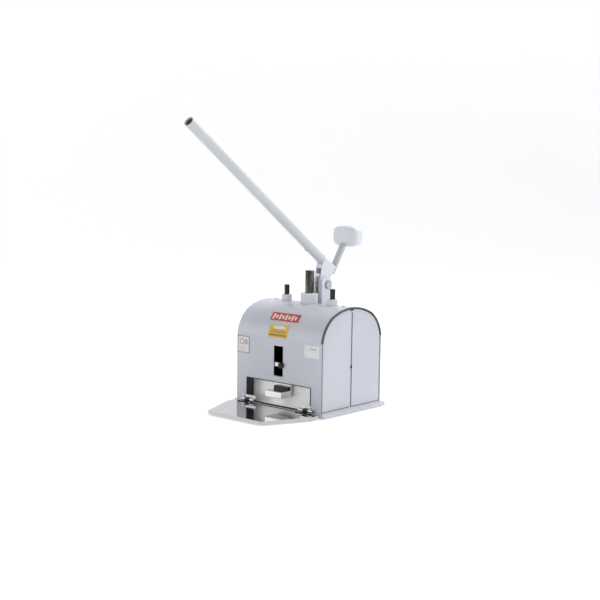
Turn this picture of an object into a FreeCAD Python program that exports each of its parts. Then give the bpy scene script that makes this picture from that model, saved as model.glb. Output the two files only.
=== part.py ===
import FreeCAD, Part
import math
import os

# Hand-lever sealing press.  Millimetres, +Z up.  The origin is the centre of the
# press on the bench: x = 0 and y = 0 are the axis of the ram, z = 0 is the bench.
# +X is the end with the two doors, -Y is the front with the feed opening.

V = FreeCAD.Vector

# --- overall sizes ---------------------------------------------------------------
HOUSING_W = 350.0          # length of the arched cover along X
HOUSING_D = 280.0          # depth of the cover, front wall to back wall
WALL_H = 211.0             # straight front and back walls, above the pan
SHOULDER_RISE = 74.0       # height of the steep part of the arch
SHOULDER_RUN = 48.0        # how far the steep part leans in
SHOULDER_BULGE = 9.5       # arc height of the steep part over its chord
CROWN_RISE = 23.0          # height of the flat top arc over the shoulders
COVER_T = 2.0              # cover sheet

# --- base ------------------------------------------------------------------------
FOOT_PROUD = 3.0           # feet below the skirt of the pan
FOOT_R = 15.0
FOOT_INSET = 38.0
PAN_SKIRT = 11.0           # folded edge of the pan
PAN_T = 2.0
PAN_SIDE = 10.0            # pan beyond the cover, each end
PAN_BACK = 17.0            # pan behind the cover
PAN_FRONT = 2.0            # pan in front of the cover
FLOOR_T = 4.0              # polished floor plate

# --- openings in the front wall ----------------------------------------------------
MOUTH_W = 263.0
MOUTH_H = 75.0             # above the top of the pan
SLOT_W = 38.0
SLOT_Z0 = 93.5             # above the top of the pan
SLOT_H = 93.0

# --- frame -------------------------------------------------------------------------
SIDE_T = 10.0              # side plates
SIDE_SETBACK = 2.5         # side plate behind the mouth's edge
BRIDGE_T = 16.0            # top bridge
BRIDGE_DROP = 38.0         # top of the bridge below the crest of the cover
BRIDGE_Y0 = -60.0
BRIDGE_Y1 = 90.0
BACK_PLATE_T = 3.0
BACK_PLATE_Y = -106.0      # its front face
BACK_PLATE_H = 80.0
FRAME_SCREW_R = 4.0

# --- ram, rods and guides ------------------------------------------------------------
RAM_R = 13.5
RAM_PROUD = 101.0          # ram above the crest of the cover
RAM_COLLAR_R = 27.0
RAM_COLLAR_PROUD = 31.0
RAM_BUSH_R = 20.0
GUIDE_X = 94.0
GUIDE_R = 8.0
GUIDE_PROUD = 50.0
GUIDE_COLLAR_R = 16.0
GUIDE_COLLAR_PROUD = 19.0
GUIDE_BUSH_R = 11.0
CROSSHEAD_T = 22.0
CROSSHEAD_DROP = 32.0      # top of the crosshead below the bridge
CROSSHEAD_HALF_D = 22.0
CROSSHEAD_END = 18.0       # crosshead beyond a guide rod

# --- rack and pinion -------------------------------------------------------------------
MODULE = 5.0
PINION_TEETH = 12
PINION_HALF_W = 8.5
RACK_HALF_W = 9.0
RACK_SEAT_Y = 10.0         # flat on the ram that carries the rack
RACK_PITCH_Y = 23.5
RACK_ADDENDUM = 3.5
RACK_DEDENDUM = 6.0
PINION_ADDENDUM = 4.5
PINION_DEDENDUM = 4.2
BACKLASH = 0.4
PRESSURE_ANGLE = 20.0
RACK_BELOW = 37.0          # rack below the pinion's axis at rest
RACK_ABOVE = 44.0
PIVOT_PROUD = 55.0         # pinion axis above the crest of the cover

# --- bracket, shaft and lever --------------------------------------------------------------
SHAFT_R = 10.0
SHAFT_BUSH_R = 13.0
CHEEK_X0 = 14.0            # inner face of a cheek
CHEEK_T = 15.0
CHEEK_FRONT = 27.5         # cheek in front of the pinion's axis
CHEEK_BACK = 18.5
CHEEK_TOP = 21.0
CAP_R = 13.0
CAP_T = 4.0
HUB_HALF_W = 12.0
HUB_PLATE_T = 2.6
HUB_EYE_R = 21.0
WEB_T = 4.0
TUBE_R = 15.0
TUBE_WALL = 2.3
COLLAR_T = 3.0             # end collar of the spigot
TUBE_LENGTH = 698.0
TUBE_ANGLE = 35.7          # handle above the horizontal at rest
TUBE_OFFSET = 62.7         # handle's centre line from the pinion's axis
TUBE_START = 45.8          # lower end of the tube, along the handle from the foot of the offset
SPIGOT_LENGTH = 95.0       # spigot inside the tube
TONGUE_LENGTH = 40.0       # flat tongue of the spigot between the hub plates
HANDLE_SCREW_AT = 77.0     # from the lower end of the tube
ARM_ANGLE = 56.8           # counterweight arm above the horizontal
ARM_W = 20.0
ARM_T = 9.0
ARM_BACK = 52.9            # a point of the arm's centre line behind the axis
ARM_UP = 35.2              # and above it
ARM_START = -6.0           # ends of the arm, along the arm from that point
ARM_END = 132.0
ARM_SEAT = 24.0            # length of the arm on the hub
WEIGHT_W = 92.0
WEIGHT_D = 45.0
WEIGHT_H = 59.0
WEIGHT_FILLET = 13.0
WEIGHT_SHIFT = 4.3         # centre of the weight behind the end of the arm's line

# --- press head ------------------------------------------------------------------------------
HEAD_W = 66.0
HEAD_DEPTH = 44.0
HEAD_H = 19.0
HEAD_LIFT = 27.0           # head above the floor plate at rest
CARRIER_T = 6.0
CARRIER_GAP = 6.0          # carrier in front of the back plate
CARRIER_H = 59.0
YOKE_H = 14.0              # wide top of the carrier
HEAD_ROD_X = 50.0
HEAD_ROD_R = 6.0
HEAD_STEP_H = 11.0         # clamp step on top of the head
HEAD_STEP_D = 10.0
HEAD_BRACKET_T = 14.0
SLOT_BAR_T = 4.0
SLOT_BAR_H = 12.0
SLOT_BAR_UP = 123.0        # bottom of the bar above the pan
THUMB_X = 15.0
THUMB_R = 3.0
THUMB_HEAD_R = 9.0
THUMB_HEAD_T = 8.0

# --- tray --------------------------------------------------------------------------------------
TRAY_T = 2.0
TRAY_FRONT_HALF = 110.0
TRAY_SIDE_HALF = 174.0
TRAY_REACH = 190.0         # front edge in front of the front wall
TRAY_SHOULDER = 42.0       # widest point in front of the front wall
TRAY_GAP = 9.5             # rear edge in front of the front wall
TRAY_DROP = 4.5            # top of the tray below the floor plate's top
TRAY_LIP = 8.0
HINGE_X = 120.0
HINGE_W = 56.0
HINGE_OUT = 7.0            # axis in front of the front wall
HINGE_UP = 6.5             # axis above the pan
KNUCKLE_R = 5.0
HINGE_PIN_R = 2.5
LEAF_T = 2.0
WALL_LEAF_H = 20.0         # top of the wall leaf above the pan
TRAY_LEAF_D = 17.0
KNUCKLE_GAP = 0.4
HINGE_SCREW_R = 2.5

# --- doors ---------------------------------------------------------------------------------------
DOOR_T = 2.0
DOOR_RECESS = 1.0
DOOR_GAP = 3.0
SEAM_Y = -3.0
SEAM_GAP = 1.2             # between the two hinge rods
DOOR_ROD_R = 2.0           # hinge rod on the inner edge of each door
DOOR_PIN_R = 1.0           # pins on the ends of the hinge rod
DOOR_ROD_DROP = 14.0       # top of the rod below the crest of the cover
DOOR_CAP_T = 5.0           # cap of the post that holds the pins
DOOR_FLOOR_GAP = 2.0
FINGER_R = 5.0
FINGER_UP = 128.0
POST_W = 20.0
POST_T = 3.0
TRIM_T = 1.6
TRIM_LIP = 1.0
TRIM_W = 6.5

# --- clearances ------------------------------------------------------------------------------------
RUN_FIT = 0.05             # radial, shaft in bush
SEAT_FIT = 0.02            # radial, bush or rod in its seat
PASS = 0.5                 # parts that pass through the cover
TOUCH_GAP = 0.3            # faces that stop against each other

# --- derived places ----------------------------------------------------------------------------------
PAN_TOP = FOOT_PROUD + PAN_SKIRT
FLOOR_TOP = PAN_TOP + FLOOR_T
CREST = PAN_TOP + WALL_H + SHOULDER_RISE + CROWN_RISE
FRONT = -HOUSING_D / 2
BACK = HOUSING_D / 2
END = HOUSING_W / 2
MOUTH_HALF = MOUTH_W / 2
SIDE_IN = MOUTH_HALF + SIDE_SETBACK
SIDE_OUT = SIDE_IN + SIDE_T
SIDE_MID = (SIDE_IN + SIDE_OUT) / 2
BRIDGE_TOP = CREST - BRIDGE_DROP
BRIDGE_BOTTOM = BRIDGE_TOP - BRIDGE_T
PIVOT_Y = RACK_PITCH_Y + MODULE * PINION_TEETH / 2
PIVOT_Z = CREST + PIVOT_PROUD
PITCH_R = MODULE * PINION_TEETH / 2
CROSSHEAD_TOP = BRIDGE_BOTTOM - CROSSHEAD_DROP
CROSSHEAD_BOTTOM = CROSSHEAD_TOP - CROSSHEAD_T
CHEEK_X1 = CHEEK_X0 + CHEEK_T
HEAD_BOTTOM = FLOOR_TOP + HEAD_LIFT
CARRIER_Y1 = BACK_PLATE_Y - CARRIER_GAP
CARRIER_Y0 = CARRIER_Y1 - CARRIER_T
CARRIER_TOP = HEAD_BOTTOM + CARRIER_H
HEAD_ROD_Y = (CARRIER_Y0 + CARRIER_Y1) / 2
BRACKET_BOTTOM = CROSSHEAD_BOTTOM - HEAD_BRACKET_T
SLOT_BAR_Z0 = PAN_TOP + SLOT_BAR_UP
SLOT_BAR_MID = SLOT_BAR_Z0 + SLOT_BAR_H / 2
SLOT_BAR_Y0 = FRONT + COVER_T + 2 * PASS
SLOT_BAR_Y1 = SLOT_BAR_Y0 + SLOT_BAR_T
HINGE_Y = FRONT - HINGE_OUT
HINGE_Z = PAN_TOP + HINGE_UP
HINGE_SCREW_Z = PAN_TOP + WALL_LEAF_H - 4.2
TRAY_TOP = FLOOR_TOP - TRAY_DROP
DOOR_OUT_X = END - DOOR_RECESS
DOOR_IN_X = DOOR_OUT_X - DOOR_T
DOOR_AXIS_X = (DOOR_IN_X + DOOR_OUT_X) / 2
DOOR_AXIS_OFF = DOOR_ROD_R + SEAM_GAP / 2


# --- plain shapes ------------------------------------------------------------------------------------------
def block(x0, x1, y0, y1, z0, z1):
    """Box between two corners."""
    return Part.makeBox(x1 - x0, y1 - y0, z1 - z0, V(x0, y0, z0))


def rod_z(x, y, z0, z1, r):
    """Round bar along Z."""
    return Part.makeCylinder(r, z1 - z0, V(x, y, z0), V(0, 0, 1))


def rod_x(x0, x1, y, z, r):
    """Round bar along X."""
    return Part.makeCylinder(r, x1 - x0, V(x0, y, z), V(1, 0, 0))


def rod_y(x, y0, y1, z, r):
    """Round bar along Y."""
    return Part.makeCylinder(r, y1 - y0, V(x, y0, z), V(0, 1, 0))


def prism_x(points, x0, x1):
    """Plate with a (y, z) outline, from x0 to x1."""
    loop = [V(x0, y, z) for y, z in points]
    face = Part.Face(Part.makePolygon(loop + loop[:1]))
    return face.extrude(V(x1 - x0, 0, 0))


def hex_nut(x, y, z0, z1, across, bore):
    """Hexagon nut along Z, measured across flats."""
    r = across / math.sqrt(3)
    ring = [V(x + r * math.cos(math.radians(60 * i)), y + r * math.sin(math.radians(60 * i)), z0)
            for i in range(6)]
    face = Part.Face(Part.makePolygon(ring + ring[:1]))
    return face.extrude(V(0, 0, z1 - z0)).cut(rod_z(x, y, z0 - 1, z1 + 1, bore))


def pan_head(at, direction, shank_r, shank, head_r, head):
    """Screw with a low domed head.  at is the underside of the head, direction points out."""
    out = V(*direction)
    body = Part.makeCylinder(head_r, head * 0.6, V(*at), out)
    dome = Part.makeCone(head_r, head_r * 0.6, head * 0.4, V(*at) + out * (head * 0.6), out)
    thread = Part.makeCylinder(shank_r, shank, V(*at) - out * shank, out)
    return body.fuse([dome, thread]).removeSplitter()


def cap_screw(at, direction, shank_r, shank, head_r, head):
    """Socket cap screw.  at is the underside of the head, direction points out."""
    out = V(*direction)
    body = Part.makeCylinder(head_r, head, V(*at), out)
    thread = Part.makeCylinder(shank_r, shank, V(*at) - out * shank, out)
    socket = Part.makeCylinder(shank_r * 0.6, head * 0.6, V(*at) + out * (head * 0.45), out)
    return body.fuse(thread).cut(socket)


def mirrored(shape):
    """Copy on the other side of x = 0."""
    return shape.mirror(V(0, 0, 0), V(1, 0, 0))


def save(name, *solids):
    """Write one node as a STEP file."""
    shape = solids[0] if len(solids) == 1 else Part.makeCompound(list(solids))
    shape.exportStep("parts/" + name + ".step")


# --- cover profile -------------------------------------------------------------------------------------------
def arc_radius(chord, rise):
    """Radius of an arc from its chord and its height."""
    return (chord * chord / 4 + rise * rise) / (2 * rise)


def arch_wire(x, inset, z_bottom):
    """Closed outline of the cover across X at x, moved inwards by inset."""
    half = BACK
    crown_half = half - SHOULDER_RUN
    spring = PAN_TOP + WALL_H
    fold = spring + SHOULDER_RISE
    chord = math.hypot(SHOULDER_RUN, SHOULDER_RISE)
    out_y = SHOULDER_RISE / chord * SHOULDER_BULGE
    out_z = SHOULDER_RUN / chord * SHOULDER_BULGE
    mid_y = half - SHOULDER_RUN / 2 + out_y
    mid_z = spring + SHOULDER_RISE / 2 + out_z
    points = {
        "front_spring": V(x, -half, spring), "front_mid": V(x, -mid_y, mid_z),
        "front_fold": V(x, -crown_half, fold), "crest": V(x, 0, fold + CROWN_RISE),
        "back_fold": V(x, crown_half, fold), "back_mid": V(x, mid_y, mid_z),
        "back_spring": V(x, half, spring),
    }
    low_front = V(x, -half, z_bottom - inset)
    low_back = V(x, half, z_bottom - inset)
    edges = [
        Part.LineSegment(low_front, points["front_spring"]).toShape(),
        Part.Arc(points["front_spring"], points["front_mid"], points["front_fold"]).toShape(),
        Part.Arc(points["front_fold"], points["crest"], points["back_fold"]).toShape(),
        Part.Arc(points["back_fold"], points["back_mid"], points["back_spring"]).toShape(),
        Part.LineSegment(points["back_spring"], low_back).toShape(),
        Part.LineSegment(low_back, low_front).toShape(),
    ]
    wire = Part.Wire(edges)
    if inset:
        wire = wire.makeOffset2D(-inset, join=2)
    return wire


def arch_solid(x0, x1, inset, z_bottom):
    """Solid with the outline of the cover from x0 to x1."""
    return Part.Face(arch_wire(x0, inset, z_bottom)).extrude(V(x1 - x0, 0, 0))


# --- base and frame ------------------------------------------------------------------------------------------
def make_base():
    """Feet, folded pan and polished floor plate."""
    x1 = END + PAN_SIDE
    y0 = FRONT - PAN_FRONT
    y1 = BACK + PAN_BACK
    pan = block(-x1, x1, y0, y1, FOOT_PROUD, PAN_TOP)
    pan = pan.makeFillet(3.0, [e for e in pan.Edges if abs(e.tangentAt(e.FirstParameter).z) > 0.9])
    pan = pan.cut(block(-x1 + PAN_T, x1 - PAN_T, y0 + PAN_T, y1 - PAN_T, 0, PAN_TOP - PAN_T))
    floor = block(-END, END, FRONT + COVER_T + PASS, BACK - COVER_T - PASS, PAN_TOP, FLOOR_TOP)
    holes = [rod_z(x, y, 0, FLOOR_TOP + 1, FRAME_SCREW_R + SEAT_FIT) for x, y in frame_screw_places()]
    pivots = [rod_z(DOOR_AXIS_X, SEAM_Y + s * DOOR_AXIS_OFF, PAN_TOP - 1, FLOOR_TOP + 1, DOOR_PIN_R + RUN_FIT)
              for s in (-1, 1)]
    save("base_pan", pan.cut(holes))
    save("floor_plate", floor.cut(holes + pivots))
    feet = []
    for x in (-x1 + FOOT_INSET, x1 - FOOT_INSET):
        for y in (y0 + FOOT_INSET, y1 - FOOT_INSET):
            foot = Part.makeCone(FOOT_R * 0.8, FOOT_R, PAN_TOP - PAN_T, V(x, y, 0))
            feet.append(foot)
    save("rubber_feet", *feet)


def frame_screw_places():
    """Screws that hold the side plates down."""
    return [(x, y) for x in (-SIDE_MID, SIDE_MID) for y in (BACK_PLATE_Y + 30, BRIDGE_Y1)]


def bridge_screw_places():
    """Screws that hold the bridge on the side plates."""
    return [(x, y) for x in (-SIDE_MID, SIDE_MID) for y in (BRIDGE_Y0 + 20, BRIDGE_Y1 - 20)]


def make_frame():
    """Side plates, top bridge and their screws."""
    y0 = FRONT + COVER_T + PASS
    y1 = BACK - COVER_T - PASS
    spring = PAN_TOP + WALL_H
    outline = [(y0, FLOOR_TOP), (y0, spring), (BRIDGE_Y0, BRIDGE_BOTTOM), (BRIDGE_Y1, BRIDGE_BOTTOM),
               (y1, spring), (y1, FLOOR_TOP)]
    plate = prism_x(outline, SIDE_IN, SIDE_OUT)
    low = [rod_z(SIDE_MID, y, FLOOR_TOP - 1, FLOOR_TOP + 26, FRAME_SCREW_R + SEAT_FIT)
           for x, y in frame_screw_places() if x > 0]
    high = [rod_z(SIDE_MID, y, BRIDGE_BOTTOM - 26, BRIDGE_BOTTOM + 1, FRAME_SCREW_R + SEAT_FIT)
            for x, y in bridge_screw_places() if x > 0]
    hinge = rod_y(SIDE_MID, y0 - 1, y0 + 12, HINGE_SCREW_Z, HINGE_SCREW_R + SEAT_FIT)
    plate = plate.cut(low + high + [hinge])
    save("side_plate_right", plate)
    save("side_plate_left", mirrored(plate))
    bridge = block(-SIDE_OUT, SIDE_OUT, BRIDGE_Y0, BRIDGE_Y1, BRIDGE_BOTTOM, BRIDGE_TOP)
    bores = [rod_z(0, 0, BRIDGE_BOTTOM - 1, BRIDGE_TOP + 1, RAM_BUSH_R + SEAT_FIT)]
    bores += [rod_z(x, 0, BRIDGE_BOTTOM - 1, BRIDGE_TOP + 1, GUIDE_BUSH_R + SEAT_FIT)
              for x in (-GUIDE_X, GUIDE_X)]
    bores += [rod_z(x, y, BRIDGE_BOTTOM - 1, BRIDGE_TOP + 1, FRAME_SCREW_R + SEAT_FIT)
              for x, y in bridge_screw_places() + cheek_screw_places()]
    save("top_bridge", bridge.cut(bores))
    screws = [cap_screw((x, y, PAN_TOP - PAN_T), (0, 0, -1), FRAME_SCREW_R, 30, 6.5, 6)
              for x, y in frame_screw_places()]
    screws += [cap_screw((x, y, BRIDGE_TOP), (0, 0, 1), FRAME_SCREW_R, 38, 6.5, 8)
               for x, y in bridge_screw_places()]
    save("frame_screws", *screws)


def make_back_plate():
    """Polished plate behind the mouth, with folded ends screwed to the side plates."""
    x1 = SIDE_IN - TOUCH_GAP / 3
    top = FLOOR_TOP + BACK_PLATE_H
    y1 = BACK_PLATE_Y + BACK_PLATE_T
    flange = 18.0
    plate = block(-x1, x1, BACK_PLATE_Y, y1, FLOOR_TOP, top)
    for s in (-1, 1):
        inner, outer = sorted((s * (x1 - BACK_PLATE_T), s * x1))
        plate = plate.fuse(block(inner, outer, BACK_PLATE_Y, y1 + flange, FLOOR_TOP, top))
    y = y1 + flange / 2
    heights = (FLOOR_TOP + 18, top - 18)
    plate = plate.cut([rod_x(-x1 - 1, x1 + 1, y, z, 2.0 + SEAT_FIT) for z in heights])
    save("back_plate", plate.removeSplitter())
    save("back_plate_screws", *[pan_head((s * (x1 - BACK_PLATE_T), y, z), (-s, 0, 0), 2.0, BACK_PLATE_T, 4.0, 2.5)
                                for s in (-1, 1) for z in heights])


# --- cover ---------------------------------------------------------------------------------------------------
def cover_cutters():
    """Everything that is cut through the cover sheet."""
    cut = [block(-MOUTH_HALF, MOUTH_HALF, FRONT - 1, FRONT + COVER_T + 1, PAN_TOP - 1, PAN_TOP + MOUTH_H)]
    slot_z = PAN_TOP + SLOT_Z0
    cut.append(block(-SLOT_W / 2, SLOT_W / 2, FRONT - 1, FRONT + COVER_T + 1, slot_z, slot_z + SLOT_H))
    cut.append(rod_z(0, 0, BRIDGE_TOP, CREST + 1, RAM_COLLAR_R + PASS))
    cut += [rod_z(x, 0, BRIDGE_TOP, CREST + 1, GUIDE_COLLAR_R + PASS) for x in (-GUIDE_X, GUIDE_X)]
    for s in (-1, 1):
        x0, x1 = sorted((s * (CHEEK_X0 - PASS), s * (CHEEK_X1 + PASS)))
        cut.append(block(x0, x1, PIVOT_Y - CHEEK_FRONT - PASS, PIVOT_Y + CHEEK_BACK + PASS, BRIDGE_TOP, CREST + 1))
    cut += [rod_z(x, 0, BRIDGE_TOP, CREST + 1, 2.5 + SEAT_FIT) for x in (-SIDE_MID, SIDE_MID)]
    cut += [rod_y(x, FRONT - 1, FRONT + COVER_T + 1, HINGE_SCREW_Z, HINGE_SCREW_R + SEAT_FIT)
            for x in (-SIDE_MID, SIDE_MID)]
    return cut


def make_cover():
    """Arched cover sheet, its inner angles, and the spacers and screws under the crest."""
    sheet = arch_solid(-END, END, 0, PAN_TOP)
    sheet = sheet.cut(arch_solid(-END - 1, END + 1, COVER_T, PAN_TOP - 2 * COVER_T))
    save("housing_wrapper", sheet.cut(cover_cutters()).removeSplitter())
    inner = BACK - COVER_T
    leg, t = 24.0, 2.0
    z0 = FLOOR_TOP
    angle = block(-SIDE_IN + 4, SIDE_IN - 4, inner - t, inner, z0, z0 + leg)
    angle = angle.fuse(block(-SIDE_IN + 4, SIDE_IN - 4, inner - leg, inner, z0, z0 + t))
    save("wrapper_angle", angle.removeSplitter())
    top = CREST - COVER_T - TOUCH_GAP / 2
    spacers = [rod_z(x, 0, BRIDGE_TOP, top, 7).cut(rod_z(x, 0, top - 20, top + 1, 2.5 + SEAT_FIT))
               for x in (-SIDE_MID, SIDE_MID)]
    save("cover_spacers", *spacers)
    save("cover_screws", *[pan_head((x, 0, CREST + SEAT_FIT), (0, 0, 1), 2.5, 18, 5.5, 3.0)
                           for x in (-SIDE_MID, SIDE_MID)])


def make_left_end():
    """Fixed end panel on the left with its spacers and screws."""
    floor_gap = DOOR_FLOOR_GAP
    panel = arch_solid(-DOOR_OUT_X, -DOOR_IN_X, COVER_T + TOUCH_GAP, FLOOR_TOP + floor_gap)
    places = [(y, z) for y in (-95.0, 95.0) for z in (FLOOR_TOP + 30, PAN_TOP + WALL_H - 25)]
    holes = [rod_x(-END - 1, -SIDE_OUT + 1, y, z, 2.5 + SEAT_FIT) for y, z in places]
    save("left_end_panel", panel.cut(holes))
    spacers = [rod_x(-DOOR_IN_X, -SIDE_OUT, y, z, 7).cut(hole) for (y, z), hole in zip(places, holes)]
    save("end_panel_spacers", *spacers)
    save("end_panel_screws", *[pan_head((-DOOR_OUT_X, y, z), (-1, 0, 0), 2.5, 16, 5.0, 2.6) for y, z in places])


def make_doors():
    """Two doors hung on a post in the middle of the right end, and the rubber edging."""
    leaf = arch_solid(DOOR_IN_X, DOOR_OUT_X, COVER_T + DOOR_GAP, FLOOR_TOP + DOOR_FLOOR_GAP)
    finger = rod_x(DOOR_IN_X - 3, DOOR_OUT_X + 3, SEAM_Y, PAN_TOP + FINGER_UP, FINGER_R)
    rod_top = CREST - DOOR_ROD_DROP
    cap_half = DOOR_AXIS_OFF + DOOR_ROD_R * 2
    notch = block(DOOR_IN_X - 1, DOOR_OUT_X + 1, SEAM_Y - cap_half - PASS, SEAM_Y + cap_half + PASS, rod_top, CREST)
    for name, s in (("door_front", -1), ("door_rear", 1)):
        axis_y = SEAM_Y + s * DOOR_AXIS_OFF
        y0, y1 = sorted((axis_y, s * (BACK + 10)))
        door = leaf.common(block(DOOR_IN_X - 1, DOOR_OUT_X + 1, y0, y1, 0, CREST + 10)).cut(notch)
        rod = rod_z(DOOR_AXIS_X, axis_y, FLOOR_TOP + TOUCH_GAP, rod_top, DOOR_ROD_R)
        door = door.fuse(rod).cut(finger)
        pins = [rod_z(DOOR_AXIS_X, axis_y, PAN_TOP + TOUCH_GAP, FLOOR_TOP + 2, DOOR_PIN_R),
                rod_z(DOOR_AXIS_X, axis_y, rod_top - 2, rod_top + DOOR_CAP_T, DOOR_PIN_R)]
        save(name, door.fuse(pins).removeSplitter())
    x1 = DOOR_AXIS_X - DOOR_ROD_R - TOUCH_GAP
    z1 = rod_top + TOUCH_GAP
    post = block(x1 - POST_T, x1, SEAM_Y - POST_W / 2, SEAM_Y + POST_W / 2, FLOOR_TOP, z1)
    post = post.fuse(block(x1 - POST_T, END, SEAM_Y - cap_half, SEAM_Y + cap_half, z1, z1 + DOOR_CAP_T))
    post = post.cut([rod_z(DOOR_AXIS_X, SEAM_Y + s * DOOR_AXIS_OFF, z1 - 1, z1 + 10, DOOR_PIN_R + RUN_FIT)
                     for s in (-1, 1)])
    for z in (FLOOR_TOP + 45, BRIDGE_BOTTOM - 40):
        post = post.fuse(block(SIDE_OUT, x1 - POST_T, SEAM_Y - 6, SEAM_Y + 6, z, z + 20))
    save("door_post", post.removeSplitter())
    trim = arch_solid(END - TRIM_W + TRIM_T, END + TRIM_T, -TRIM_T, PAN_TOP)
    trim = trim.cut(arch_solid(END - TRIM_W, END + 2 * TRIM_T, COVER_T + TRIM_LIP, PAN_TOP - 4 * COVER_T))
    channel = arch_solid(END - 2 * TRIM_W, END, -SEAT_FIT, PAN_TOP)
    channel = channel.cut(arch_solid(END - 3 * TRIM_W, END + 1, COVER_T + SEAT_FIT, PAN_TOP - 4 * COVER_T))
    trim = trim.cut(channel)
    above = block(END - 20, END + 20, -HOUSING_D, HOUSING_D, PAN_TOP + WALL_H, CREST + 20)
    save("arch_trim", trim.common(above).removeSplitter())


# --- top guides ----------------------------------------------------------------------------------------------
def make_guides():
    """Collars that stand through the cover and the bushes inside them."""
    collar = rod_z(0, 0, BRIDGE_TOP, CREST + RAM_COLLAR_PROUD, RAM_COLLAR_R)
    collar = collar.makeFillet(2.0, [e for e in collar.Edges if e.BoundBox.ZMin > CREST and e.Closed])
    collar = collar.cut(rod_z(0, 0, BRIDGE_TOP - 1, CREST + 100, RAM_R + 0.6))
    keyway = block(-RACK_HALF_W - PASS, RACK_HALF_W + PASS, 0, RAM_COLLAR_R + 5, BRIDGE_TOP - 1, CREST + 100)
    save("ram_collar", collar.cut(keyway))
    flange = 8.0
    bush = rod_z(0, 0, BRIDGE_BOTTOM, BRIDGE_TOP - SEAT_FIT, RAM_BUSH_R)
    bush = bush.fuse(rod_z(0, 0, BRIDGE_BOTTOM - flange, BRIDGE_BOTTOM, RAM_BUSH_R + 6))
    save("ram_bush", bush.cut(rod_z(0, 0, 0, CREST, RAM_R + RUN_FIT)).removeSplitter())
    collars, bushes = [], []
    for x in (-GUIDE_X, GUIDE_X):
        top = CREST + GUIDE_COLLAR_PROUD
        tall = rod_z(x, 0, BRIDGE_TOP, top, GUIDE_COLLAR_R)
        tall = tall.makeFillet(1.5, [e for e in tall.Edges if e.BoundBox.ZMin > CREST and e.Closed])
        collars.append(tall.cut(rod_z(x, 0, 0, CREST + 100, GUIDE_BUSH_R + SEAT_FIT)))
        sleeve = rod_z(x, 0, BRIDGE_BOTTOM, top - 2, GUIDE_BUSH_R)
        bushes.append(sleeve.cut(rod_z(x, 0, 0, CREST + 100, GUIDE_R + RUN_FIT)))
    save("guide_collars", *collars)
    save("guide_bushes", *bushes)


def cheek_screw_places():
    """Screws that hold the bracket cheeks on the bridge."""
    x = (CHEEK_X0 + CHEEK_X1) / 2
    return [(s * x, PIVOT_Y + dy) for s in (-1, 1) for dy in (-16, 8)]


def make_bracket():
    """Two cheeks that carry the pinion shaft, with bushes and screws."""
    y0, y1 = PIVOT_Y - CHEEK_FRONT, PIVOT_Y + CHEEK_BACK
    top = PIVOT_Z + CHEEK_TOP
    cheek = block(CHEEK_X0, CHEEK_X1, y0, y1, BRIDGE_TOP, top)
    rear = [e for e in cheek.Edges if e.BoundBox.YMin > y1 - 0.1 and e.BoundBox.ZMin > top - 0.1]
    front = [e for e in cheek.Edges if e.BoundBox.YMax < y0 + 0.1 and e.BoundBox.ZMin > top - 0.1]
    cheek = cheek.makeFillet(CHEEK_BACK - 1, rear)
    front = [e for e in cheek.Edges if e.BoundBox.YMax < y0 + 0.1 and e.BoundBox.ZMin > top - 0.1]
    cheek = cheek.makeFillet(9.0, front)
    cheek = cheek.cut(rod_x(0, CHEEK_X1 + 1, PIVOT_Y, PIVOT_Z, SHAFT_BUSH_R + SEAT_FIT))
    cheek = cheek.cut([rod_z(x, y, BRIDGE_TOP - 1, BRIDGE_TOP + 24, FRAME_SCREW_R + SEAT_FIT)
                       for x, y in cheek_screw_places() if x > 0])
    save("bracket_cheek_right", cheek)
    save("bracket_cheek_left", mirrored(cheek))
    bush = rod_x(CHEEK_X0, CHEEK_X1, PIVOT_Y, PIVOT_Z, SHAFT_BUSH_R)
    bush = bush.cut(rod_x(0, CHEEK_X1 + 1, PIVOT_Y, PIVOT_Z, SHAFT_R + RUN_FIT))
    save("shaft_bushes", bush, mirrored(bush))
    save("bracket_screws", *[cap_screw((x, y, BRIDGE_BOTTOM), (0, 0, -1), FRAME_SCREW_R, BRIDGE_T + 22, 6.5, 8)
                             for x, y in cheek_screw_places()])


# --- lever ---------------------------------------------------------------------------------------------------
def pinion_outline(x):
    """Wire of the pinion with one tooth space facing -Y, flanks as arcs through the involute."""
    base = PITCH_R * math.cos(math.radians(PRESSURE_ANGLE))
    tip = PITCH_R + PINION_ADDENDUM
    root = PITCH_R - PINION_DEDENDUM
    inv = math.tan(math.radians(PRESSURE_ANGLE)) - math.radians(PRESSURE_ANGLE)
    half = math.pi / (2 * PINION_TEETH) - BACKLASH / (2 * PITCH_R) + inv

    def at(radius, angle):
        return V(x, PIVOT_Y + radius * math.cos(angle), PIVOT_Z + radius * math.sin(angle))

    def flank(radius):
        a = math.acos(base / radius)
        return half - (math.tan(a) - a)

    edges = []
    step = 2 * math.pi / PINION_TEETH
    for i in range(PINION_TEETH):
        mid = math.pi + (i + 0.5) * step
        middle = (base + tip) / 2
        rise = [at(root, mid - half), at(base, mid - half), at(middle, mid - flank(middle)), at(tip, mid - flank(tip))]
        fall = [at(tip, mid + flank(tip)), at(middle, mid + flank(middle)), at(base, mid + half), at(root, mid + half)]
        edges.append(Part.LineSegment(rise[0], rise[1]).toShape())
        edges.append(Part.Arc(rise[1], rise[2], rise[3]).toShape())
        edges.append(Part.Arc(rise[3], at(tip, mid), fall[0]).toShape())
        edges.append(Part.Arc(fall[0], fall[1], fall[2]).toShape())
        edges.append(Part.LineSegment(fall[2], fall[3]).toShape())
        edges.append(Part.Arc(fall[3], at(root, mid + step / 2), at(root, mid + step - half)).toShape())
    return Part.Wire(edges)


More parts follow.
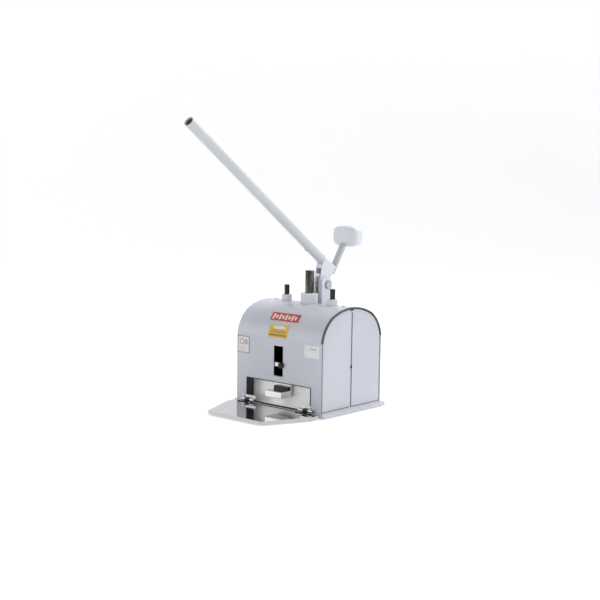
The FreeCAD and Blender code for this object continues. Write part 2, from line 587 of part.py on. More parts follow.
def make_pinion():
    """Shaft, pinion, key, washers and end caps."""
    shaft_end = CHEEK_X1 + TOUCH_GAP
    cap_end = shaft_end + CAP_T
    key_w, key_h = 3.0, 2.5
    key = block(-PINION_HALF_W, PINION_HALF_W, PIVOT_Y - key_w, PIVOT_Y + key_w,
                PIVOT_Z + SHAFT_R - key_h, PIVOT_Z + SHAFT_R + key_h)
    shaft = rod_x(-cap_end, cap_end, PIVOT_Y, PIVOT_Z, SHAFT_R).cut(key)
    save("pinion_shaft", shaft)
    save("pinion_key", key)
    gear = Part.Face(pinion_outline(-PINION_HALF_W)).extrude(V(2 * PINION_HALF_W, 0, 0))
    gear = gear.cut([rod_x(-PINION_HALF_W - 1, PINION_HALF_W + 1, PIVOT_Y, PIVOT_Z, SHAFT_R + SEAT_FIT), key])
    save("pinion_gear", gear)
    caps, washers = [], []
    bore = rod_x(-cap_end - 1, cap_end + 1, PIVOT_Y, PIVOT_Z, SHAFT_R + SEAT_FIT)
    for s in (-1, 1):
        x0, x1 = sorted((s * shaft_end, s * cap_end))
        cap = rod_x(x0, x1, PIVOT_Y, PIVOT_Z, CAP_R)
        outer = [e for e in cap.Edges if e.Closed and abs(e.BoundBox.Center.x - s * cap_end) < 0.1]
        caps.append(cap.makeFillet(1.0, outer).cut(bore))
        x0, x1 = sorted((s * (HUB_HALF_W + SEAT_FIT), s * (CHEEK_X0 - TOUCH_GAP)))
        washers.append(rod_x(x0, x1, PIVOT_Y, PIVOT_Z, SHAFT_R + 5).cut(bore))
    save("shaft_caps", *caps)
    save("thrust_washers", *washers)


def along_handle(distance, offset=0.0):
    """Point (y, z) along the handle's centre line; offset moves it away from the axis."""
    a = math.radians(TUBE_ANGLE)
    out = (math.sin(a), math.cos(a))
    run = (-math.cos(a), math.sin(a))
    d = TUBE_OFFSET + offset
    return (PIVOT_Y + out[0] * d + run[0] * distance, PIVOT_Z + out[1] * d + run[1] * distance)


def along_arm(distance, offset=0.0):
    """Point (y, z) along the counterweight arm; offset moves it backwards and down."""
    a = math.radians(ARM_ANGLE)
    return (PIVOT_Y + ARM_BACK + math.cos(a) * distance + math.sin(a) * offset,
            PIVOT_Z + ARM_UP + math.sin(a) * distance - math.cos(a) * offset)


def handle_rod(start, length, radius):
    """Round bar along the handle."""
    y, z = along_handle(start)
    a = math.radians(TUBE_ANGLE)
    return Part.makeCylinder(radius, length, V(0, y, z), V(0, -math.cos(a), math.sin(a)))


def hub_outline():
    """Side plate of the hub: a neck that opens from the eye into a broad head."""
    neck = [(PIVOT_Y - HUB_EYE_R, PIVOT_Z), (PIVOT_Y - 17, PIVOT_Z + 20), (PIVOT_Y - 13, PIVOT_Z + 36)]
    head = [along_handle(TUBE_START - COLLAR_T - TOUCH_GAP, -TUBE_R + 1),
            along_handle(TUBE_START - COLLAR_T - TOUCH_GAP, TUBE_R / 2)]
    seat = [along_arm(ARM_START + ARM_SEAT, -ARM_T / 2), along_arm(ARM_START, -ARM_T / 2)]
    return neck + head + seat + [(PIVOT_Y + 32.9, PIVOT_Z + 20.6), (PIVOT_Y + HUB_EYE_R, PIVOT_Z)]


def edge_web(start, end, thickness):
    """Cross web of the hub behind the edge from start to end, both (y, z)."""
    length = math.hypot(end[0] - start[0], end[1] - start[1])
    in_y = (end[1] - start[1]) / length * thickness
    in_z = -(end[0] - start[0]) / length * thickness
    loop = [start, end, (end[0] + in_y, end[1] + in_z), (start[0] + in_y, start[1] + in_z)]
    return prism_x(loop, -HUB_HALF_W, HUB_HALF_W)


def make_hub():
    """Hub of the lever: two plates with a web under the handle and one under the arm."""
    outline = hub_outline()
    plate = prism_x(outline, HUB_HALF_W - HUB_PLATE_T, HUB_HALF_W)
    plate = plate.fuse(rod_x(HUB_HALF_W - HUB_PLATE_T, HUB_HALF_W, PIVOT_Y, PIVOT_Z, HUB_EYE_R))
    low, high = outline[2], outline[3]
    low = ((low[0] + high[0]) / 2, (low[1] + high[1]) / 2)
    hub = plate.fuse([mirrored(plate), edge_web(low, high, WEB_T), edge_web(outline[5], outline[6], WEB_T)])
    hub = hub.cut(rod_x(-HUB_HALF_W - 1, HUB_HALF_W + 1, PIVOT_Y, PIVOT_Z, SHAFT_R + SEAT_FIT))
    save("lever_hub", hub.removeSplitter())


def make_handle():
    """Tube with the spigot that joins it to the hub, and its screw."""
    screw_y, screw_z = along_handle(TUBE_START + HANDLE_SCREW_AT)
    a = math.radians(TUBE_ANGLE)
    out = V(0, -math.sin(a), -math.cos(a))
    centre = V(0, screw_y, screw_z)
    screw_hole = Part.makeCylinder(3 + SEAT_FIT, TUBE_R + 5, centre, out)
    bore = TUBE_R - TUBE_WALL
    half_tongue = HUB_HALF_W - HUB_PLATE_T - SEAT_FIT
    tongue = [along_handle(TUBE_START - d, t) for d, t in
              ((TONGUE_LENGTH, -11), (1, -11), (1, 6), (TONGUE_LENGTH, 6))]
    spigot = handle_rod(TUBE_START - COLLAR_T, SPIGOT_LENGTH + COLLAR_T, bore - SEAT_FIT)
    spigot = spigot.fuse([handle_rod(TUBE_START - COLLAR_T, COLLAR_T, TUBE_R),
                          prism_x(tongue, -half_tongue, half_tongue)])
    save("handle_spigot", spigot.cut(screw_hole).removeSplitter())
    tube = handle_rod(TUBE_START, TUBE_LENGTH, TUBE_R)
    end = max(tube.Edges, key=lambda e: e.BoundBox.ZMin if e.Closed else -1)
    tube = tube.makeFillet(0.8, [end])
    tube = tube.cut([handle_rod(TUBE_START - 1, TUBE_LENGTH + 2, bore), screw_hole])
    save("handle_tube", tube)
    head_at = centre + out * (TUBE_R + SEAT_FIT)
    save("handle_screw", pan_head(tuple(head_at), tuple(out), 3, TUBE_R - 2, 5.2, 3.4))


def make_counterweight():
    """Flat arm with the weight on its end."""
    loop = [along_arm(d, t * ARM_T / 2) for d, t in
            ((ARM_START, -1), (ARM_END, -1), (ARM_END, 1), (ARM_START, 1))]
    arm = prism_x(loop, -ARM_W / 2, ARM_W / 2)
    save("counterweight_arm", arm)
    y, z = along_arm(ARM_END)
    y += WEIGHT_SHIFT
    weight = block(-WEIGHT_W / 2, WEIGHT_W / 2, y - WEIGHT_D / 2, y + WEIGHT_D / 2, z - WEIGHT_H / 2, z + WEIGHT_H / 2)
    weight = weight.makeFillet(WEIGHT_FILLET, weight.Edges)
    save("counterweight", weight.cut(arm))


# --- ram and head --------------------------------------------------------------------------------------------
def rack_outline(x):
    """Closed (y, z) outline of the rack with a tooth at the height of the pinion's axis."""
    pitch = math.pi * MODULE
    slope = math.tan(math.radians(PRESSURE_ANGLE))
    tip_y = RACK_PITCH_Y + RACK_ADDENDUM
    root_y = RACK_PITCH_Y - RACK_DEDENDUM
    half_tip = pitch / 4 - RACK_ADDENDUM * slope
    half_root = pitch / 4 + RACK_DEDENDUM * slope
    z0, z1 = PIVOT_Z - RACK_BELOW, PIVOT_Z + RACK_ABOVE
    points = [V(x, RACK_SEAT_Y, z0), V(x, root_y, z0)]
    for k in range(-2, 3):
        z = PIVOT_Z + k * pitch
        if z - half_root >= z0 and z + half_root <= z1:
            points += [V(x, root_y, z - half_root), V(x, tip_y, z - half_tip), V(x, tip_y, z + half_tip),
                       V(x, root_y, z + half_root)]
    points += [V(x, root_y, z1), V(x, RACK_SEAT_Y, z1)]
    return Part.makePolygon(points + points[:1])


def make_ram():
    """Ram with its rack, crosshead, guide rods and nuts."""
    top = CREST + RAM_PROUD
    rack_z0, rack_z1 = PIVOT_Z - RACK_BELOW, PIVOT_Z + RACK_ABOVE
    ram = rod_z(0, 0, CROSSHEAD_TOP, top, RAM_R)
    ram = ram.makeChamfer(1.5, [e for e in ram.Edges if e.Closed and e.BoundBox.ZMin > top - 0.1])
    spigot_r = 9.0
    nut = 13.0
    ram = ram.fuse(rod_z(0, 0, CROSSHEAD_BOTTOM - nut, CROSSHEAD_TOP, spigot_r))
    flat = block(-RAM_R - 1, RAM_R + 1, RACK_SEAT_Y, RAM_R + 1, rack_z0, rack_z1)
    save("ram_rod", ram.cut(flat).removeSplitter())
    rack = Part.Face(rack_outline(-RACK_HALF_W)).extrude(V(2 * RACK_HALF_W, 0, 0))
    save("rack_bar", rack)
    x1 = GUIDE_X + CROSSHEAD_END
    beam = block(-x1, x1, -CROSSHEAD_HALF_D, CROSSHEAD_HALF_D, CROSSHEAD_BOTTOM, CROSSHEAD_TOP)
    beam = beam.makeFillet(6.0, [e for e in beam.Edges if abs(e.tangentAt(e.FirstParameter).z) > 0.9])
    holes = [rod_z(0, 0, 0, CREST, spigot_r + SEAT_FIT)]
    holes += [rod_z(x, 0, 0, CREST, GUIDE_R + SEAT_FIT) for x in (-GUIDE_X, GUIDE_X)]
    holes += [rod_z(x, y, 0, CROSSHEAD_BOTTOM + 14, 3 + SEAT_FIT) for x, y in head_screw_places()]
    save("crosshead", beam.cut(holes))
    rods, nuts = [], [hex_nut(0, 0, CROSSHEAD_BOTTOM - nut, CROSSHEAD_BOTTOM, 27, spigot_r + SEAT_FIT)]
    for x in (-GUIDE_X, GUIDE_X):
        rod = rod_z(x, 0, CROSSHEAD_BOTTOM - 8, CREST + GUIDE_PROUD, GUIDE_R)
        rod = rod.makeChamfer(1.0, [e for e in rod.Edges if e.Closed and e.BoundBox.ZMin > CREST])
        rods.append(rod)
        nuts.append(hex_nut(x, 0, CROSSHEAD_BOTTOM - 8, CROSSHEAD_BOTTOM, 24, GUIDE_R + SEAT_FIT))
    save("guide_rods", *rods)
    save("crosshead_nuts", *nuts)


def head_screw_places():
    """Screws between the crosshead and the bracket below it."""
    return [(x, y) for x in (-40.0, 40.0) for y in (-12.0, 12.0)]


def make_head():
    """Bracket, rods, carrier, press head, slot bar and thumb screw."""
    wide = HEAD_ROD_X + 10
    bracket = block(-wide, wide, CARRIER_Y0 - 5, CROSSHEAD_HALF_D, BRACKET_BOTTOM, CROSSHEAD_BOTTOM)
    bracket = bracket.makeFillet(5.0, [e for e in bracket.Edges if abs(e.tangentAt(e.FirstParameter).z) > 0.9])
    holes = [rod_z(0, 0, 0, CREST, 18.0)]
    holes += [rod_z(x, y, 0, CREST, 3 + SEAT_FIT) for x, y in head_screw_places()]
    holes += [rod_z(x, HEAD_ROD_Y, 0, CREST, HEAD_ROD_R - 2 + SEAT_FIT) for x in (-HEAD_ROD_X, HEAD_ROD_X)]
    save("head_bracket", bracket.cut(holes))
    screws = [cap_screw((x, y, BRACKET_BOTTOM), (0, 0, -1), 3, HEAD_BRACKET_T + 12, 5, 6)
              for x, y in head_screw_places()]
    rods = []
    for x in (-HEAD_ROD_X, HEAD_ROD_X):
        rod = rod_z(x, HEAD_ROD_Y, CARRIER_TOP, BRACKET_BOTTOM, HEAD_ROD_R)
        rods.append(rod.fuse(rod_z(x, HEAD_ROD_Y, BRACKET_BOTTOM, CROSSHEAD_BOTTOM + 2, HEAD_ROD_R - 2)))
        screws.append(hex_nut(x, HEAD_ROD_Y, CROSSHEAD_BOTTOM, CROSSHEAD_BOTTOM + 6, 10, HEAD_ROD_R - 2 + SEAT_FIT))
    save("head_rods", *rods)
    save("head_screws", *screws)
    half = HEAD_W / 2
    carrier = block(-half + 1, half - 1, CARRIER_Y0, CARRIER_Y1, HEAD_BOTTOM, CARRIER_TOP)
    carrier = carrier.fuse(block(-wide, wide, CARRIER_Y0, CARRIER_Y1, CARRIER_TOP - YOKE_H, CARRIER_TOP))
    save("head_carrier", carrier.removeSplitter())
    head = block(-half, half, CARRIER_Y0 - HEAD_DEPTH, CARRIER_Y0, HEAD_BOTTOM, HEAD_BOTTOM + HEAD_H)
    step = block(-half + 5, half - 5, CARRIER_Y0 - HEAD_STEP_D, CARRIER_Y0, HEAD_BOTTOM + HEAD_H,
                 HEAD_BOTTOM + HEAD_H + HEAD_STEP_H)
    front = [e for e in head.Edges if e.BoundBox.YMax < CARRIER_Y0 - HEAD_DEPTH + 0.1]
    head = head.makeChamfer(0.8, front)
    save("press_head", head)
    save("head_clamp", step)
    bar = block(-wide, wide, SLOT_BAR_Y0, SLOT_BAR_Y1, SLOT_BAR_Z0, SLOT_BAR_Z0 + SLOT_BAR_H)
    for x in (-HEAD_ROD_X, HEAD_ROD_X):
        bar = bar.fuse(block(x - 10, x + 10, SLOT_BAR_Y0, CARRIER_Y1, SLOT_BAR_Z0, SLOT_BAR_Z0 + SLOT_BAR_H))
    bar = bar.cut([rod_z(x, HEAD_ROD_Y, 0, CREST, HEAD_ROD_R + SEAT_FIT) for x in (-HEAD_ROD_X, HEAD_ROD_X)])
    bar = bar.cut(rod_y(THUMB_X, SLOT_BAR_Y0 - 1, SLOT_BAR_Y1 + 1, SLOT_BAR_MID, THUMB_R + RUN_FIT))
    save("slot_bar", bar.removeSplitter())
    neck = FRONT - PASS
    knob = rod_y(THUMB_X, neck - THUMB_HEAD_T, neck, SLOT_BAR_MID, THUMB_HEAD_R)
    knob = knob.makeFillet(1.0, [e for e in knob.Edges if e.Closed])
    notch = []
    count = 16
    for i in range(count):
        a = 2 * math.pi * i / count
        x = THUMB_X + THUMB_HEAD_R * math.cos(a)
        z = SLOT_BAR_MID + THUMB_HEAD_R * math.sin(a)
        notch.append(rod_y(x, neck - THUMB_HEAD_T - 1, neck + 1, z, 0.9))
    knob = knob.cut(notch).fuse(rod_y(THUMB_X, neck, SLOT_BAR_Y1 + 2, SLOT_BAR_MID, THUMB_R))
    save("thumb_screw", knob.removeSplitter())


# --- tray ----------------------------------------------------------------------------------------------------
def tray_plan(inset):
    """Outline (x, y) of the tray moved inwards by inset."""
    front = FRONT - TRAY_REACH
    shoulder = FRONT - TRAY_SHOULDER
    rear = FRONT - TRAY_GAP
    half = [(TRAY_SIDE_HALF, rear), (TRAY_SIDE_HALF, shoulder), (TRAY_FRONT_HALF, front)]
    loop = half + [(-x, y) for x, y in reversed(half)]
    wire = Part.makePolygon([V(x, y, 0) for x, y in loop + loop[:1]])
    return wire.makeOffset2D(-inset, join=2) if inset else wire


def slab(wire, z0, z1):
    """Plate from a flat wire."""
    lifted = wire.copy()
    lifted.translate(V(0, 0, z0))
    return Part.Face(lifted).extrude(V(0, 0, z1 - z0))


def knuckle(x0, x1):
    """One barrel of a hinge."""
    body = rod_x(x0, x1, HINGE_Y, HINGE_Z, KNUCKLE_R)
    return body


def make_tray():
    """Tray with its folded lips, and the two hinges that carry it."""
    lip_bottom = TRAY_TOP - TRAY_LIP
    tray = slab(tray_plan(0), lip_bottom, TRAY_TOP).cut(slab(tray_plan(TRAY_T), lip_bottom - 1, TRAY_TOP - TRAY_T))
    rear = FRONT - TRAY_GAP
    tray = tray.cut(block(-TRAY_SIDE_HALF, TRAY_SIDE_HALF, rear - TRAY_T - 1, rear + 1, 0, TRAY_TOP - TRAY_T))
    for s in (-1, 1):
        corner = V(s * TRAY_FRONT_HALF, FRONT - TRAY_REACH, lip_bottom - 1)
        tray = tray.cut(Part.makeCylinder(3.5, TRAY_LIP - TRAY_T + 1, corner))
    bore = rod_x(-END, END, HINGE_Y, HINGE_Z, HINGE_PIN_R + RUN_FIT)
    third = HINGE_W / 3
    walls, leaves, pins, wall_screws, tray_screws, holes = [], [], [], [], [], []
    for s in (-1, 1):
        x0 = s * HINGE_X - HINGE_W / 2
        x1 = x0 + HINGE_W
        xa, xb = x0 + third, x1 - third
        wall = block(x0, x1, FRONT - LEAF_T, FRONT, HINGE_Z + KNUCKLE_R * 0.6, PAN_TOP + WALL_LEAF_H)
        for a, b in ((x0, xa - KNUCKLE_GAP), (xb + KNUCKLE_GAP, x1)):
            wall = wall.fuse([knuckle(a, b), block(a, b, HINGE_Y, FRONT - TOUCH_GAP / 3, HINGE_Z + 1, HINGE_Z + KNUCKLE_R)])
        wall = wall.cut([bore, rod_x(xa - KNUCKLE_GAP, xb + KNUCKLE_GAP, HINGE_Y, HINGE_Z, KNUCKLE_R + 2 * KNUCKLE_GAP)])
        z = HINGE_SCREW_Z
        x = s * SIDE_MID
        wall = wall.cut(rod_y(x, FRONT - 10, FRONT + 1, z, HINGE_SCREW_R + SEAT_FIT))
        walls.append(wall.removeSplitter())
        wall_screws.append(pan_head((x, FRONT - LEAF_T, z), (0, -1, 0), HINGE_SCREW_R, 14, 4.0, 2.2))
        leaf_y0 = HINGE_Y - TRAY_LEAF_D
        leaf = block(x0, x1, leaf_y0, HINGE_Y - KNUCKLE_R - 1.0, TRAY_TOP, TRAY_TOP + LEAF_T)
        link = block(xa, xb, HINGE_Y - KNUCKLE_R - 1.0, HINGE_Y, TRAY_TOP, HINGE_Z - KNUCKLE_R + 2.0)
        leaf = leaf.fuse([link, knuckle(xa, xb)]).cut(bore)
        screw_places = [(xx, leaf_y0 + 5.5) for xx in (x0 + 10, x1 - 10)]
        drill = [rod_z(xx, yy, 0, TRAY_TOP + 10, 2 + SEAT_FIT) for xx, yy in screw_places]
        holes += drill
        leaves.append(leaf.cut(drill).removeSplitter())
        tray_screws += [pan_head((xx, yy, TRAY_TOP + LEAF_T), (0, 0, 1), 2, 6, 3.6, 1.8) for xx, yy in screw_places]
        pins.append(rod_x(x0 - 0.8, x1 + 0.8, HINGE_Y, HINGE_Z, HINGE_PIN_R))
    save("tray", tray.cut(holes).removeSplitter())
    save("wall_hinge_leaves", *walls)
    save("tray_hinge_leaves", *leaves)
    save("hinge_pins", *pins)
    save("wall_hinge_screws", *wall_screws)
    save("tray_hinge_screws", *tray_screws)


os.makedirs("parts", exist_ok=True)
make_base()
make_frame()
make_back_plate()
make_cover()
make_left_end()
make_doors()
make_guides()
make_bracket()
make_pinion()
make_hub()
make_handle()
make_counterweight()
make_ram()
make_head()
make_tray()
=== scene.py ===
import logging
import math
from dataclasses import dataclass, field
from enum import Enum

import bmesh
import bpy
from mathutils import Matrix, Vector


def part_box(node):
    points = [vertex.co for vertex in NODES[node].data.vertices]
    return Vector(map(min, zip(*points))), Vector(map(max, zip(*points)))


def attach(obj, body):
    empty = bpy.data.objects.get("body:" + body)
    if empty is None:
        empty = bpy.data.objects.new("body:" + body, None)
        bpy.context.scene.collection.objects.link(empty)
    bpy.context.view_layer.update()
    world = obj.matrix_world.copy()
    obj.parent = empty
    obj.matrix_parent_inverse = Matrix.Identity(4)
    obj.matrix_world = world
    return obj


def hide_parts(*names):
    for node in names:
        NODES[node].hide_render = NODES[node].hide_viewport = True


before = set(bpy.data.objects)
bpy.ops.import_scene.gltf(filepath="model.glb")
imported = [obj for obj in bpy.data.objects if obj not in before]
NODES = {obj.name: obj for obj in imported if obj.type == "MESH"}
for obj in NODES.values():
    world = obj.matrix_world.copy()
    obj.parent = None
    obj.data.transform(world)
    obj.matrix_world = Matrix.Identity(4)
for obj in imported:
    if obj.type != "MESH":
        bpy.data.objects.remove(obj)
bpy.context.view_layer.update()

logging.basicConfig(level=logging.INFO, format="%(message)s")
LOG = logging.getLogger("press")
MM = 0.001
Colour = tuple[float, float, float]
Point = tuple[float, float, float]
Outline = tuple[tuple[float, float], ...]

# A label's left, right, lower and upper side, and an oval's centre and its two half sizes, in millimetres.
Box = tuple[float, float, float, float]
Oval = tuple[float, float, float, float]

# The cover's straight wall, and how high each printed layer lies above the cover.
WALL_RISE = 211 * MM
OVERPRINT = 0.62 * MM
SECOND_PRINT = 0.80 * MM
THIRD_PRINT = 0.95 * MM

# The line between the doors and the finger hole, darkened as painted shade: the half width or radius where
# the painted shade starts and is full.
SEAM_Y = -3.0 * MM
SEAM_SHADE_HALF = (2.6 * MM, 1.8 * MM)
HOLE_Z = 142 * MM
HOLE_SHADE_RADIUS = (5.6 * MM, 5.0 * MM)

# The handle's direction at rest.
HANDLE_RISE = math.radians(35.7)
HANDLE_WAY = Vector((0, -math.cos(HANDLE_RISE), math.sin(HANDLE_RISE)))

DUST = (0.40, 0.38, 0.35, 1)
RUBBER_DUST = (0.10, 0.098, 0.092, 1)
BARE_STEEL = (0.46, 0.46, 0.47, 1)
# Painted shade: the colour of the gap between the doors and of the finger hole.
PAINTED_GAP_SHADE = (0.06, 0.06, 0.067, 1)
# Painted shade: the black of the door post below its given height, where it shows through the doors.
PAINTED_POST_SHADE = (0.014, 0.014, 0.016, 1)


class Axis(Enum):
    """Which way a pattern or a bar runs."""

    X = 0
    Y = 1
    Z = 2


# --- small node helpers ---------------------------------------------------------------
class Graph:
    """Short calls for building a node tree."""

    def __init__(self, tree: bpy.types.NodeTree) -> None:
        """Keeps the tree.

        Args:
            tree: the node tree that the calls add to.
        """
        self.tree = tree

    def add(self, kind: str, **inputs: object) -> bpy.types.Node:
        """Adds a node and sets or links its inputs.

        Args:
            kind: the node's type name.
            inputs: values or sockets by input name, with _ for a space.

        Returns:
            The new node.
        """
        node = self.tree.nodes.new(kind)
        for key, value in inputs.items():
            self.feed(node, key.replace("_", " "), value)
        return node

    def feed(self, node: bpy.types.Node, key: object, value: object) -> None:
        """Sets or links one input.

        Args:
            node: the node that takes the value.
            key: the input's name or number.
            value: a value or an output socket.
        """
        socket = node.inputs[key]
        if isinstance(value, bpy.types.NodeSocket):
            self.tree.links.new(value, socket)
        else:
            socket.default_value = value

    def maths(self, operation: str, *values: object, clamp: bool = False) -> bpy.types.NodeSocket:
        """Adds a Math node.

        Args:
            operation: the Math node's operation.
            values: its inputs in order.
            clamp: whether the result is kept between 0 and 1.

        Returns:
            The result's socket.
        """
        node = self.tree.nodes.new("ShaderNodeMath")
        node.operation = operation
        node.use_clamp = clamp
        for i, value in enumerate(values):
            self.feed(node, i, value)
        return node.outputs[0]

    def mix(self, factor: object, a: object, b: object) -> bpy.types.NodeSocket:
        """Mixes two colours.

        Args:
            factor: 0 gives a, 1 gives b.
            a: first colour.
            b: second colour.

        Returns:
            The mixed colour's socket.
        """
        node = self.tree.nodes.new("ShaderNodeMix")
        node.data_type = "RGBA"
        self.feed(node, 0, factor)
        self.feed(node, 6, a)
        self.feed(node, 7, b)
        return node.outputs[2]

    def ramp(self, value: object, low: float, high: float, to_low: float = 0.0,
             to_high: float = 1.0) -> bpy.types.NodeSocket:
        """Maps a range smoothly.

        Args:
            value: the value to map.
            low: where the map starts.
            high: where the map ends.
            to_low: result at low.
            to_high: result at high.

        Returns:
            The mapped value's socket.
        """
        node = self.tree.nodes.new("ShaderNodeMapRange")
        node.interpolation_type = "SMOOTHSTEP"
        for i, v in enumerate((value, low, high, to_low, to_high)):
            self.feed(node, i, v)
        return node.outputs[0]

    def noise(self, vector: object, scale: object, detail: float = 3.0,
              roughness: float = 0.5) -> bpy.types.NodeSocket:
        """Adds a noise texture.

        Args:
            vector: where to read it.
            scale: cells per metre.
            detail: octaves.
            roughness: weight of the fine octaves.

        Returns:
            The noise value's socket.
        """
        node = self.add("ShaderNodeTexNoise", Vector=vector, Scale=scale, Detail=detail, Roughness=roughness)
        return node.outputs["Fac"]

    def part(self, vector: object, axis: Axis) -> bpy.types.NodeSocket:
        """Gives a vector's part along one axis."""
        return self.add("ShaderNodeSeparateXYZ", Vector=vector).outputs[axis.value]


def effect(name: str, inputs: dict[str, float],
           outputs: tuple[str, ...]) -> tuple[bpy.types.NodeTree, Graph, bpy.types.Node, bpy.types.Node]:
    """Starts a shader node group.

    Args:
        name: the group's name.
        inputs: float inputs with their defaults.
        outputs: names of its float outputs.

    Returns:
        The tree, its graph, and its input and output nodes.
    """
    tree = bpy.data.node_groups.new(name, "ShaderNodeTree")
    for key, value in inputs.items():
        socket = tree.interface.new_socket(name=key, in_out="INPUT", socket_type="NodeSocketFloat")
        socket.default_value = value
    for key in outputs:
        tree.interface.new_socket(name=key, in_out="OUTPUT", socket_type="NodeSocketFloat")
    return tree, Graph(tree), tree.nodes.new("NodeGroupInput"), tree.nodes.new("NodeGroupOutput")


def build_grime() -> bpy.types.NodeTree:
    """Builds the group for faint dust: a mask that is stronger low down and in soft patches.

    Returns:
        The node group.
    """
    tree, g, source, sink = effect("grime", {"Amount": 0.3, "Scale": 14.0, "Height": 0.06}, ("Mask",))
    place = g.add("ShaderNodeTexCoord").outputs["Object"]
    cloud = g.noise(place, source.outputs["Scale"], detail=2.0, roughness=0.45)
    rise = g.maths("DIVIDE", g.part(place, Axis.Z), source.outputs["Height"])
    low = g.maths("SUBTRACT", 1.0, rise, clamp=True)
    weight = g.maths("MULTIPLY_ADD", low, 0.7, 0.3)
    mask = g.maths("MULTIPLY", g.ramp(cloud, 0.38, 0.85), weight)
    g.feed(sink, "Mask", g.maths("MULTIPLY", mask, source.outputs["Amount"], clamp=True))
    return tree


def build_wear() -> bpy.types.NodeTree:
    """Builds the group for rubbed edges: a mask from the surface's sharpness, broken up by noise.

    Returns:
        The node group.
    """
    tree, g, source, sink = effect("edge_wear", {"Amount": 0.5, "Width": 0.0012}, ("Mask",))
    place = g.add("ShaderNodeTexCoord").outputs["Object"]
    bevel = g.add("ShaderNodeBevel")
    bevel.samples = 6
    tree.links.new(source.outputs["Width"], bevel.inputs["Radius"])
    normal = g.add("ShaderNodeNewGeometry").outputs["Normal"]
    dot = g.tree.nodes.new("ShaderNodeVectorMath")
    dot.operation = "DOT_PRODUCT"
    g.feed(dot, 0, bevel.outputs[0])
    g.feed(dot, 1, normal)
    edge = g.ramp(dot.outputs["Value"], 0.95, 0.80)
    broken = g.ramp(g.noise(place, 160.0, detail=4.0, roughness=0.65), 0.46, 0.62)
    mask = g.maths("MULTIPLY", edge, broken)
    g.feed(sink, "Mask", g.maths("MULTIPLY", mask, source.outputs["Amount"], clamp=True))
    return tree


def build_orange_peel() -> bpy.types.NodeTree:
    """Builds the group for the slight unevenness of sprayed paint, as a bump height.

    Returns:
        The node group.
    """
    tree, g, source, sink = effect("orange_peel", {"Depth": 1.0}, ("Height",))
    place = g.add("ShaderNodeTexCoord").outputs["Object"]
    fine = g.noise(place, 900.0, detail=2.0)
    wide = g.noise(place, 12.0, detail=1.0)
    both = g.maths("MULTIPLY_ADD", wide, 6.0, fine)
    g.feed(sink, "Height", g.maths("MULTIPLY", both, source.outputs["Depth"]))
    return tree


def build_brushing() -> bpy.types.NodeTree:
    """Builds the group for the fine parallel lines of ground or brushed metal.

    Returns:
        The node group.
    """
    inputs = {"Along X": 8.0, "Along Y": 900.0, "Along Z": 900.0}
    tree, g, source, sink = effect("brushing", inputs, ("Height", "Streak"))
    place = g.add("ShaderNodeTexCoord").outputs["Object"]
    scale = g.add("ShaderNodeCombineXYZ")
    for i, key in enumerate(inputs):
        tree.links.new(source.outputs[key], scale.inputs[i])
    stretched = g.tree.nodes.new("ShaderNodeVectorMath")
    stretched.operation = "MULTIPLY"
    g.feed(stretched, 0, place)
    g.feed(stretched, 1, scale.outputs[0])
    lines = g.noise(stretched.outputs[0], 1.0, detail=3.0, roughness=0.6)
    g.feed(sink, "Height", lines)
    g.feed(sink, "Streak", g.ramp(lines, 0.35, 0.65))
    return tree


GROUPS = {"grime": build_grime(), "wear": build_wear(), "peel": build_orange_peel(),
          "brushing": build_brushing()}


def shade(colour: Colour, factor: float = 1.0, lift: float = 0.0) -> tuple[float, ...]:
    """Gives a colour scaled and then lifted, with full alpha."""
    return tuple(c * factor + lift for c in colour) + (1,)


class Shader:
    """A material with its Principled BSDF and the helpers that dress it."""

    def __init__(self, name: str) -> None:
        """Makes the material.

        Args:
            name: the material's name.
        """
        self.material = bpy.data.materials.new(name)
        self.material.use_nodes = True
        tree = self.material.node_tree
        tree.nodes.clear()
        self.g = Graph(tree)
        self.bsdf = tree.nodes.new("ShaderNodeBsdfPrincipled")
        out = tree.nodes.new("ShaderNodeOutputMaterial")
        tree.links.new(self.bsdf.outputs[0], out.inputs[0])
        self.place = self.g.add("ShaderNodeTexCoord").outputs["Object"]

    def group(self, key: str, **values: float) -> bpy.types.Node:
        """Places one of the shared effects.

        Args:
            key: the effect's key in GROUPS.
            values: its inputs, with _ for a space.

        Returns:
            The group node.
        """
        node = self.g.tree.nodes.new("ShaderNodeGroup")
        node.node_tree = GROUPS[key]
        for name, value in values.items():
            node.inputs[name.replace("_", " ")].default_value = value
        return node

    def bump(self, height: object, strength: float, distance: float) -> None:
        """Feeds a bump to the shader's normal.

        Args:
            height: the height socket.
            strength: the bump's strength.
            distance: the height's scale in metres.
        """
        node = self.g.add("ShaderNodeBump", Strength=strength, Distance=distance, Height=height)
        self.g.feed(self.bsdf, "Normal", node.outputs[0])


